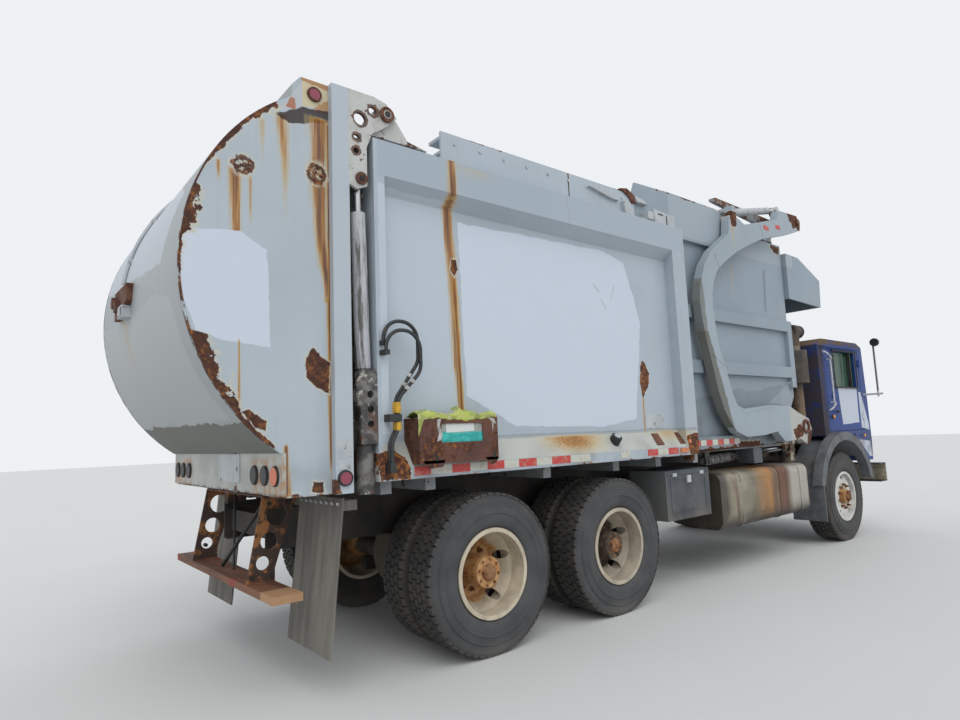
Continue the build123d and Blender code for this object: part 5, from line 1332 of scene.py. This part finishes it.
# Latches of the top door beside the roof rail, as an outline of (x, z) and the span across the truck that
# it has, and the rail's joint and bolts
latchSizes = {
    "bolts": 9, "boltStart": -0.15, "boltPitch": 0.24, "boltHigh": 3.60, "railFace": 1.1195, "joint": 1.06,
    "jointHigh": (3.43, 3.668),
    "plates": (
        (((-1.245, 3.602), (-1.238, 3.618), (-0.86, 3.575), (-0.84, 3.55), (-0.95, 3.548)), (1.112, 1.150)),
        (((-0.80, 3.56), (-0.74, 3.575), (-0.67, 3.50), (-0.65, 3.40), (-0.70, 3.372), (-0.77, 3.42)),
         (1.112, 1.165)),
        (((-0.60, 3.655), (-0.48, 3.64), (-0.40, 3.60), (-0.57, 3.60)), (1.10, 1.142)),
        (((-0.474, 3.44), (-0.39, 3.44), (-0.39, 3.52), (-0.474, 3.52)), (1.095, 1.19)),
        (((-0.355, 3.565), (-0.03, 3.545), (-0.03, 3.40), (-0.20, 3.39), (-0.355, 3.43)), (1.095, 1.175)),
    ),
    "catches": (
        (((-0.80, 3.685), (-0.70, 3.705), (-0.60, 3.66), (-0.57, 3.585), (-0.63, 3.575), (-0.68, 3.63)),
         (1.095, 1.135)),
    ),
    "bars": (
        (((-0.30, 3.530), (-0.22, 3.528), (-0.22, 3.515), (-0.30, 3.517)), (1.17, 1.178)),
        (((-0.17, 3.525), (-0.155, 3.525), (-0.155, 3.43), (-0.17, 3.42)), (1.17, 1.178)),
    ),
}


def buildLatches():
    bars, plates, catches, bolts = Shape(), Shape(), Shape(), []
    face, joint = latchSizes["railFace"], station(latchSizes["joint"])
    for side in sides:
        for shape, key in ((bars, "bars"), (plates, "plates"), (catches, "catches")):
            for outline, span in latchSizes[key]:
                shape.slab(outline, outward(side, *span))
        bolt = Shape()
        bolt.rod((0, 0, 0), (0, side * 0.010, 0), 0.011, 6)
        start = (station(latchSizes["boltStart"]), side * face, latchSizes["boltHigh"])
        bolts.append(repeated(bolt, "row", {"Count": latchSizes["bolts"], "Start": start,
                                            "Step": (latchSizes["boltPitch"], 0, 0)}, "paleSteel"))
        y = outward(side, face, face + 0.0035)
        low, high = latchSizes["jointHigh"]
        bars.box((joint - 0.005, y[0], low), (joint + 0.005, y[1], high))
    bars.done("latchBars", "gasket", "truck", "black_frame", 0.002)
    plates.done("latchPlates", "paleSteel", "truck", "body_paint", 0.004)
    catches.done("latchCatches", "rustySteel", "truck", "rusty_steel", 0.003)
    gathered("railBolts", bolts, "paleSteel", "truck", "body_paint")
    print("latches made")


# The tailgate's small things: bezels, pins, a conduit, a work lamp and blank plates. Boxes are given by
# their two corners
gateSizes = {
    "conduitY": 0.36, "conduitRadius": 0.013, "lamps": (0.73, 0.90, 1.06), "lampHigh": 1.29,
    "lampFace": -4.0075, "lowLamp": (station(-1.112), 1.26), "highLamp": (station(-1.262), 3.60),
    "pins": ((station(-0.78), 3.59, 0.052), (station(-0.975), 3.11, 0.040)), "pinFace": 1.218,
    "postPlates": ((-1.162, -1.066, 1.375, 1.485), (-1.160, -1.068, 1.310, 1.362)),
    "workLamp": ((-4.618, 0.075, 2.355), (-4.556, 0.205, 2.435)),
    "workGlass": ((-4.622, 0.090, 2.368), (-4.616, 0.190, 2.422)),
    "barPlate": ((-4.0125, -0.46, 1.235), (-4.0065, -0.03, 1.415)),
    "tab": (((0.02, 2.575), (0.20, 2.575), (0.20, 2.40), (0.02, 2.46)), (-4.60, -4.556)),
}


def addConduit(shape):
    # A pipe that follows the curved skin, with its clips
    middle = Vector((gateArc["x"], gateSizes["conduitY"], gateArc["z"]))
    reach = gateArc["radius"] + gateSizes["conduitRadius"]
    path = [middle + Vector((-cos(radians(angle)), 0, sin(radians(angle)))) * reach
            for angle in range(8, 60, 4)]
    shape.tube(path, gateSizes["conduitRadius"])
    for point in path[2::4]:
        out = (point - middle).normalized()
        shape.rod(point - out * 0.016, point + out * 0.010, 0.022, 12)


def buildGate():
    dark, rusty, pale, glass = Shape(), Shape(), Shape(), Shape()
    face = gateSizes["pinFace"]
    for side in sides:
        ringOn(dark, gateSizes["lowLamp"], side, 1.22, (0.036, 0.048), 0.015)
        ringOn(rusty, gateSizes["highLamp"], side, 1.17, (0.034, 0.047), 0.015)
        for across in gateSizes["lamps"]:
            dark.lathe([(0.002, 0.050), (0.002, 0.060), (-0.010, 0.058), (-0.012, 0.052)],
                       (gateSizes["lampFace"], side * across, gateSizes["lampHigh"]), "x", 28)
        for x, z, radius in gateSizes["pins"]:
            rusty.rod((x, side * face, z), (x, side * (face + 0.018), z), radius, 24)
            dark.rod((x, side * (face + 0.016), z), (x, side * (face + 0.024), z), radius * 0.45, 6)
        y = outward(side, sideFace, sideFace + 0.002)
        for rear, front, low, high in gateSizes["postPlates"]:
            pale.box((station(rear), y[0], low), (station(front), y[1], high))
    addConduit(pale)
    pale.box(*gateSizes["workLamp"])
    glass.box(*gateSizes["workGlass"])
    pale.box(*gateSizes["barPlate"])
    rusty.slab(*gateSizes["tab"], "x")
    dark.done("gateBezels", "gasket", "tailgate", "black_frame")
    rusty.done("gatePins", "rustySteel", "tailgate", "rusty_steel", smooth=True)
    pale.done("gateFittings", "paleSteel", "tailgate", "body_paint")
    glass.done("workLampGlass", "lensDark", "tailgate", "glass")
    print("tailgate dressed")


# Sleeves and wraps on the hoses
hoseSizes = {"x": station(-0.775), "rows": (1.242, 1.272), "rowDrop": 0.062, "top": (station(-0.598), 1.96),
             "foot": 1.72, "sleeves": ((1.632, 1.700), (1.525, 1.577)), "sleeveRadius": 0.0185,
             "wraps": (0.38, 0.62), "wrapRadius": 0.0145, "wrapHalf": 0.012}


def buildHoseDress():
    yellow, wrap = Shape(), Shape()
    top = Vector((hoseSizes["top"][0], 0, hoseSizes["top"][1]))
    foot = Vector((hoseSizes["x"], 0, hoseSizes["foot"]))
    run = (foot - top).normalized() * hoseSizes["wrapHalf"]
    for side in sides:
        for row, across in enumerate(hoseSizes["rows"]):
            for low, high in hoseSizes["sleeves"]:
                yellow.rod((hoseSizes["x"], side * across, low), (hoseSizes["x"], side * across, high),
                           hoseSizes["sleeveRadius"], 16)
            drop = hoseSizes["rowDrop"] * row
            for share in hoseSizes["wraps"]:
                middle = top.lerp(foot + Vector((0, 0, drop)), share) + Vector((0, side * across, -drop))
                wrap.rod(middle - run, middle + run, hoseSizes["wrapRadius"], 14)
    yellow.done("hoseSleeves", "yellowSleeve", "truck", "hose_rubber", 0.002)
    wrap.done("hoseWraps", "whiteWrap", "truck", "hose_rubber")
    print("hoses dressed")


# Spill kit: the bag in its holder, and the cover drawn over the top
kitSizes = {"rear": station(-0.632), "front": station(-0.008), "inner": 1.2245, "outer": 1.2935,
            "foot": 1.3225, "brim": 1.60, "crown": 1.635, "coverRear": -3.192, "coverLong": 0.632,
            "coverFlat": (0.66, 0.26)}


def buildBag():
    rings = []
    steps, corners = 28, 20
    middle = (kitSizes["inner"] + kitSizes["outer"]) / 2
    for step in range(steps + 1):
        share = step / steps
        x = kitSizes["rear"] + (kitSizes["front"] - kitSizes["rear"]) * share
        slack = sin(pi * share) ** 0.35 if 0 < share < 1 else 0.0
        sag = 0.010 * sin(share * 19) + 0.006 * sin(share * 43 + 1)
        crown = kitSizes["brim"] - 0.02 + (kitSizes["crown"] - kitSizes["brim"] + 0.02) * slack + sag
        half = (kitSizes["outer"] - kitSizes["inner"]) / 2 * (0.80 + 0.20 * slack)
        ring = []
        for corner in range(corners):
            angle = 2 * pi * corner / corners
            across = abs(cos(angle)) ** 0.55 * (1 if cos(angle) > 0 else -1)
            up = abs(sin(angle)) ** 0.55 * (1 if sin(angle) > 0 else -1)
            crease = 0.004 * sin(share * 31 + corner * 1.9)
            z = (kitSizes["foot"] + crown) / 2 + up * ((crown - kitSizes["foot"]) / 2 + crease * (up > 0))
            ring.append((x, -(middle + across * (half - abs(crease))), z))
        rings.append(ring)
    bag = Shape()
    bag.solid(rings)
    piece = bag.done("spillKitBag", "kitCloth", "truck", "kit_fabric", smooth=True,
                     replaced=("spill_kit_bag",))
    print("spill kit's bag made")


def buildCover():
    rings = []
    steps = 44
    for step in range(steps + 1):
        share = step / steps
        x = kitSizes["coverRear"] + kitSizes["coverLong"] * share
        drape = 0.010 * sin(share * 8.0) + 0.005 * sin(share * 27 + 1)
        knot = max(0.0, 1 - abs(share - 0.52) / 0.05) * 0.03
        top = 1.640 + 0.012 * sin(share * 13) + knot
        low = 1.590 + drape * 0.8 - max(0.0, 1 - share / 0.07) * 0.11
        outline = ((-1.160, 1.607), (-1.215, top - 0.006), (-1.262, top), (-1.300, top - 0.018),
                   (-1.3065, (top + low) / 2), (-1.3045, low))
        wrinkle = 0.003 * sin(share * 61)
        skin = [(x, y, z + wrinkle) for y, z in outline]
        back = [(x, y + 0.004, z - 0.004 + wrinkle) for y, z in outline]
        rings.append(skin + back[::-1])
    cover = Shape()
    cover.solid(rings)
    piece = cover.done("kitCover", "coverCloth", "truck", "kit_fabric", smooth=True)
    print("spill kit's cover made")


holderSizes = {
    "face": (-1.3012, -1.2995), "feet": ((-3.165, -2.99), (-2.66, -2.545)), "footFace": (-1.300, -1.294),
    "slots": (-3.055, -2.580), "slotHigh": 1.345,
    "flakes": (
        ((-3.045, 1.588), (-3.015, 1.594), (-3.028, 1.55), (-3.005, 1.50), (-3.02, 1.455), (-3.052, 1.448),
         (-3.035, 1.50), (-3.048, 1.54)),
        ((-2.625, 1.594), (-2.575, 1.590), (-2.553, 1.552), (-2.575, 1.556), (-2.588, 1.50), (-2.592, 1.565)),
    ),
}


def buildHolderDress():
    feet, slots, flakes = Shape(), Shape(), Shape()
    angles = [2 * pi * step / 14 for step in range(14)]
    for rear, front in holderSizes["feet"]:
        feet.slab(((rear, 1.33), (front, 1.33), (front - 0.02, 1.286), (rear + 0.05, 1.280)),
                  holderSizes["footFace"])
    for x in holderSizes["slots"]:
        slots.slab([(x + 0.011 * cos(angle), holderSizes["slotHigh"] + 0.022 * sin(angle))
                    for angle in angles], holderSizes["face"])
    for outline in holderSizes["flakes"]:
        flakes.slab(outline, holderSizes["face"])
    feet.done("kitFeet", "rustySteel", "truck", "rusty_steel")
    slots.done("kitSlots", "gasket", "truck", "black_frame")
    flakes.done("kitFlakes", "whiteWrap", "truck", "rusty_steel")
    print("spill kit's holder dressed")


# The cab: window gaskets, grille, wipers, gutters, bent ends of the grab handles and small lamps
cabSizes = {
    "face": 1.126, "gasket": 0.020, "proud": 0.004, "window": ((3.4575, 4.1575), (1.93, 2.40)),
    "divider": 3.985, "screenFoot": 1.82, "screenTop": 2.40, "screenHalf": 0.962, "wipers": (-0.75, 0.12),
    "slats": 9, "slatLow": 1.275, "slatPitch": 0.045, "grilleHalf": 0.46,
    "gutter": (3.05, 4.30, 2.440, 2.452), "roofLamps": (-0.35, 0.0, 0.35, 0.62, -0.62), "roofLampX": 4.28,
    "handleY": (1.173, 1.173, 1.160, 1.145, 1.122), "handleRadius": 0.011,
    "handleEnds": (((3.2825, 2.285), (3.262, 2.305), (3.20, 2.352), (3.165, 2.372), (3.150, 2.376)),
                   ((3.2825, 1.715), (3.268, 1.695), (3.225, 1.652), (3.205, 1.632), (3.198, 1.622))),
    "sideLamp": (3.271, 1.535), "lowLamp": (4.20, 1.27),
}


def frameOf(shape, spans, width, y):
    (rear, front), (low, high) = spans
    shape.box((rear - width, y[0], low - width), (front + width, y[1], low))
    shape.box((rear - width, y[0], high), (front + width, y[1], high + width))
    shape.box((rear - width, y[0], low), (rear, y[1], high))
    shape.box((front, y[0], low), (front + width, y[1], high))


def noseX(z):
    # The cab's front face between its nose and the foot of the windscreen
    return station(7.035) - 0.015 * (z - 1.2) / 0.6


def screenX(z):
    return station(7.02) - 0.035 * (z - 1.8) / 0.69


def frontPlate(shape, faceX, heights, depths, y):
    # A plate that leans with the cab's front, from a depth behind the face to one ahead of it
    low, high = heights
    back, proud = depths
    shape.slab(((faceX(low) - back, low), (faceX(low) + proud, low), (faceX(high) + proud, high),
                (faceX(high) - back, high)), y)


def buildDoorSeals():
    for hand, side in hands.items():
        seal = Shape()
        face, divider = cabSizes["face"], cabSizes["divider"]
        frameOf(seal, cabSizes["window"], cabSizes["gasket"],
                outward(side, face - 0.006, face + cabSizes["proud"]))
        y = outward(side, face - 0.056, face)
        low, high = cabSizes["window"][1]
        seal.box((divider - 0.010, y[0], low), (divider + 0.010, y[1], high))
        y = outward(side, 1.124, 1.150)
        seal.box((3.385, y[0], 1.585), (3.445, y[1], 1.612))
        seal.done(f"doorSeal_{hand}", "gasket", f"door_{hand}", "cab_trim", 0.002)
    print("doors dressed")


def addScreen(seal):
    # The windscreen's gasket with its middle bar, and the wipers
    foot, top, half = cabSizes["screenFoot"], cabSizes["screenTop"], cabSizes["screenHalf"]
    for heights in ((foot - 0.022, foot + 0.002), (top - 0.002, top + 0.022)):
        frontPlate(seal, screenX, heights, (0.012, 0.005), (-half, half))
    for y in ((-half, 0.024 - half), (half - 0.024, half), (-0.010, 0.010)):
        frontPlate(seal, screenX, (foot - 0.02, top + 0.02), (0.012, 0.005), y)
    for hub in cabSizes["wipers"]:
        seal.rod((screenX(1.79) - 0.01, hub, 1.79), (screenX(1.79) + 0.022, hub, 1.79), 0.014, 12)
        seal.rod((screenX(1.79) + 0.012, hub, 1.79), (screenX(1.95) + 0.014, hub + 0.33, 1.955), 0.006, 8)
        seal.rod((screenX(1.86) + 0.013, hub + 0.10, 1.862), (screenX(2.05) + 0.013, hub + 0.52, 2.045),
                 0.007, 8)


def addGrille(seal):
    # Its black back, and the slats as a piece of their own
    low, pitch, half = cabSizes["slatLow"], cabSizes["slatPitch"], cabSizes["grilleHalf"]
    frontPlate(seal, noseX, (low - 0.03, low + cabSizes["slats"] * pitch), (0.004, 0.004), (-half, half))
    slat = Shape()
    slat.slab(((0, 0), (0.014, -0.004), (0.014, 0.004), (0, 0.016)), (0.02 - half, half - 0.02))
    row = repeated(slat, "row", {"Count": cabSizes["slats"], "Start": (noseX(low) + 0.003, 0, low),
                                 "Step": (-0.025 * pitch, 0, pitch)}, "paleSteel")
    gathered("grilleSlats", [row], "paleSteel", "truck", "cab_trim")


def buildCab():
    seal, white, amber, metal = Shape(), Shape(), Shape(), Shape()
    face = cabSizes["face"]
    rear, front, low, high = cabSizes["gutter"]
    for side in sides:
        for path in cabSizes["handleEnds"]:
            points = [(x, side * y, z) for (x, z), y in zip(path, cabSizes["handleY"])]
            white.tube(points, cabSizes["handleRadius"], 12)
        metal.slab(((rear, high), (front, high), (front, low), (rear, low)), outward(side, face, face + 0.02))
        for shape, key, radius, proud, count in ((amber, "sideLamp", 0.024, 0.020, 20),
                                                 (seal, "sideLamp", 0.031, 0.008, 20),
                                                 (amber, "lowLamp", 0.022, 0.014, 16)):
            x, z = cabSizes[key]
            shape.rod((x, side * face, z), (x, side * (face + proud), z), radius, count)
    x = cabSizes["roofLampX"]
    for y in cabSizes["roofLamps"]:
        amber.rod((x, y, 2.545), (x, y, 2.585), 0.026, 16)
    addScreen(seal)
    addGrille(seal)
    seal.done("cabSeals", "gasket", "truck", "cab_trim")
    white.done("handleEnds", "mirrorPaint", "truck", "mirror_black", smooth=True)
    amber.done("markerLamps", "lensAmber", "truck", "lamp_amber", 0.003)
    metal.done("roofGutters", "cabBlue", "truck", "cab_paint")
    print("cab dressed")


# Fuel tank: a raised oval panel, the straps and the filler cap
tankSizes = {"face": 1.190, "low": 0.46, "high": 1.01, "straps": (3.30, 4.10, 4.58), "strapWide": 0.045,
             "panel": (3.02, 3.90, 0.565, 0.905), "cap": 4.70}


def roundedOutline(low, high, radius, steps=6):
    # Corners of a rounded rectangle, from its lower left round to the upper left
    points = []
    centres = ((low[0] + radius, low[1] + radius, 180), (high[0] - radius, low[1] + radius, 270),
               (high[0] - radius, high[1] - radius, 0), (low[0] + radius, high[1] - radius, 90))
    for a, b, start in centres:
        for step in range(steps + 1):
            angle = radians(start + 90 * step / steps)
            points.append((a + radius * cos(angle), b + radius * sin(angle)))
    return points


def buildTank():
    sheet, strap, cap = Shape(), Shape(), Shape()
    rear, front, low, high = tankSizes["panel"]
    outline = roundedOutline((station(rear), low), (station(front), high), 0.09)
    inner = roundedOutline((station(rear) + 0.02, low + 0.02), (station(front) - 0.02, high - 0.02), 0.075)
    face = tankSizes["face"]
    sheet.solid([[(x, -face + 0.004, z) for x, z in outline], [(x, -face - 0.002, z) for x, z in outline],
                 [(x, -face - 0.008, z) for x, z in inner]])
    outer = roundedOutline((-face - 0.006, tankSizes["low"] - 0.006), (-0.714, tankSizes["high"] + 0.006),
                           0.095)
    for place in tankSizes["straps"]:
        strap.slab(outer, (station(place), station(place) + tankSizes["strapWide"]), "x")
    x = station(tankSizes["cap"])
    cap.rod((x, -1.0, 1.0), (x, -1.0, 1.055), 0.055, 28)
    cap.rod((x, -1.0, 1.05), (x, -1.0, 1.075), 0.048, 10)
    sheet.done("tankPanel", "tankMetal", "truck", "tank_aluminium", smooth=True)
    strap.done("tankStraps", "tankMetal", "truck", "tank_aluminium", smooth=True)
    cap.done("fillerCap", "castIron", "truck", "tank_aluminium", 0.003)
    print("tank dressed")


# Tool boxes: a rim round the lid, its hinges and its latch
boxSizes = {"face": -1.158, "rim": (2.16, 2.70), "rimHigh": (0.72, 1.0), "top": (2.10, 2.76), "latch": 2.40,
            "hinges": (2.18, 2.62), "hingeLong": 0.06}


def buildBoxes():
    boxes, latch = Shape(), Shape()
    face, long = boxSizes["face"], boxSizes["hingeLong"]
    top, rim = ([station(place) for place in boxSizes[key]] for key in ("top", "rim"))
    boxes.box((top[0], face - 0.008, 1.045), (top[1], face, 1.070))
    frameOf(boxes, (rim, boxSizes["rimHigh"]), 0.014, (face - 0.007, face))
    x = station(boxSizes["latch"])
    latch.box((x, face - 0.018, 0.965), (x + long, face, 1.03))
    for place in boxSizes["hinges"]:
        latch.box((station(place), face - 0.014, 1.03), (station(place) + long, face, 1.062))
    boxes.done("boxRims", "boxPlastic", "truck", "box_plastic", 0.003)
    latch.done("boxLatches", "paleSteel", "truck", "box_plastic", 0.003)
    print("boxes dressed")


# Under the tail: the strut between the step's brackets, bolts and mudflap screws
stepSizes = {
    "screws": 8, "screwPitch": 0.075, "screwStart": (station(-1.1095), 0.60, 1.105), "boltRadius": 0.014,
    "bracketBolts": ((-1.20, 1.10), (-1.33, 1.10), (-1.44, 0.66), (-1.31, 0.66)),
    "struts": (((-1.25, -0.40, 1.14), (-1.38, 0.16, 0.63), 0.013, 12),
               ((-1.25, 0.30, 1.14), (-1.37, -0.05, 0.63), 0.008, 10),
               ((-1.37, 0.598, 0.72), (-1.37, 0.640, 0.72), 0.014, 6)),
}


def buildTail():
    dark, screws = Shape(), []
    for start, end, radius, count in stepSizes["struts"]:
        dark.rod((station(start[0]), *start[1:]), (station(end[0]), *end[1:]), radius, count)
    for side in sides:
        low, high = outward(side, 0.597, 0.612)
        for x, z in stepSizes["bracketBolts"]:
            dark.rod((station(x), low, z), (station(x), high, z), stepSizes["boltRadius"], 6)
        screw = Shape()
        screw.rod((0, 0, 0), (-0.010, 0, 0), 0.011, 6)
        x, y, z = stepSizes["screwStart"]
        screws.append(repeated(screw, "row", {"Count": stepSizes["screws"], "Start": (x, side * y, z),
                                              "Step": (0, side * stepSizes["screwPitch"], 0)}, "paleSteel"))
    dark.done("stepStruts", "gasket", "truck", "black_frame")
    gathered("flapScrews", screws, "paleSteel", "truck", "rusty_steel")
    print("tail dressed")


# Arms and hopper: weld seams, and the ring at each bearing
seamSizes = {
    "radius": 0.004, "bearing": (station(4.80), 1.43), "armFace": 1.220, "hopperFace": 1.0605,
    "arm": (((0.375, 2.185), (0.655, 2.065)), ((0.94, 1.595), (1.59, 1.675)), ((0.58, 3.25), (0.70, 3.02)),
            ((1.60, 3.77), (1.70, 3.55)), ((0.70, 1.40), (0.90, 1.62))),
    "hopper": (((1.94, 3.30), (1.90, 2.80)),),
}


def buildSeams():
    arms, hopper, rings = Shape(), Shape(), Shape()
    for side in sides:
        for shape, key in ((arms, "arm"), (hopper, "hopper")):
            y = side * seamSizes[key + "Face"]
            for (startX, startZ), (endX, endZ) in seamSizes[key]:
                shape.rod((startX, y, startZ), (endX, y, endZ), seamSizes["radius"], 8)
        ringOn(rings, seamSizes["bearing"], side, 1.22, (0.05, 0.085), 0.018)
    arms.done("armSeams", "armPaint", "lift_arms", "body_paint")
    hopper.done("hopperSeams", "hopperPaint", "truck", "body_paint")
    rings.done("armRings", "rustySteel", "lift_arms", "rusty_steel", smooth=True)
    print("seams made")


# Stage, light and camera
view = {"lens": 631.47 / 960 * 36, "place": (-5.3731, -4.6253, 1.4784), "yaw": 0.8891, "pitch": 0.1181,
        "roll": -0.0392}


def buildView():
    yaw, pitch, roll = view["yaw"], view["pitch"], view["roll"]
    ahead = Vector((cos(yaw) * cos(pitch), sin(yaw) * cos(pitch), sin(pitch)))
    level = Vector((sin(yaw), -cos(yaw), 0))
    upright = level.cross(ahead)
    right = level * cos(roll) + upright * sin(roll)
    up = upright * cos(roll) - level * sin(roll)
    camera = linked("camera", bpy.data.cameras.new("camera"))
    camera.data.lens = view["lens"]
    camera.data.sensor_width = 36
    camera.data.clip_end = 200
    turn = Matrix((right, up, -ahead)).transposed().to_4x4()
    camera.matrix_world = Matrix.Translation(view["place"]) @ turn
    bpy.context.scene.camera = camera


light = {"sky": 0.92, "skyTone": (0.93, 0.96, 1.0), "backTone": (0.86, 0.88, 0.91), "sunPower": 1.15,
         "sunSpread": 50, "sunFrom": (-0.35, -0.75, 0.95)}


def buildLight():
    world = bpy.data.worlds.new("overcast")
    world.use_nodes = True
    tree = world.node_tree
    tree.nodes.clear()
    path = addNode(tree, "ShaderNodeLightPath")
    seen = Flow(tree, path.outputs["Is Camera Ray"])
    seen = seen.larger(Flow(tree, path.outputs["Is Glossy Ray"]) * 0.55)
    seen = seen.larger(Flow(tree, path.outputs["Is Transmission Ray"]))
    skies = [made(tree, "ShaderNodeBackground", None, {"Color": (*tone, 1), "Strength": strength})
             for tone, strength in ((light["skyTone"], light["sky"]), (light["backTone"], 1.0))]
    both = made(tree, "ShaderNodeMixShader", None, {0: seen, 1: skies[0], 2: skies[1]})
    addNode(tree, "ShaderNodeOutputWorld", None, {"Surface": both})
    bpy.context.scene.world = world
    sun = linked("sun", bpy.data.lights.new("sun", "SUN"))
    sun.data.energy = light["sunPower"]
    sun.data.angle = radians(light["sunSpread"])
    sun.rotation_euler = Vector(light["sunFrom"]).to_track_quat("Z", "Y").to_euler()


def buildFloor():
    shape = Shape()
    shape.box((-60, -60, -0.05), (60, 60, 0.0))
    mesh = shape.plain()
    finish = Finish("paleFloor")
    colour = finish.mix(finish.noise(0.8, 3), (0.56, 0.56, 0.55), (0.60, 0.60, 0.59))
    mesh.materials.append(finish.done(colour, 0.85))
    linked("floor", mesh)


buildTyres()
buildHubs()
buildTape()
buildSill()
buildLatches()
buildGate()
buildHoseDress()
buildBag()
buildCover()
buildHolderDress()
buildDoorSeals()
buildCab()
buildTank()
buildBoxes()
buildTail()
buildSeams()
buildView()
buildLight()
buildFloor()
print("camera, light and floor made")
bpy.context.scene.view_settings.view_transform = "Standard"
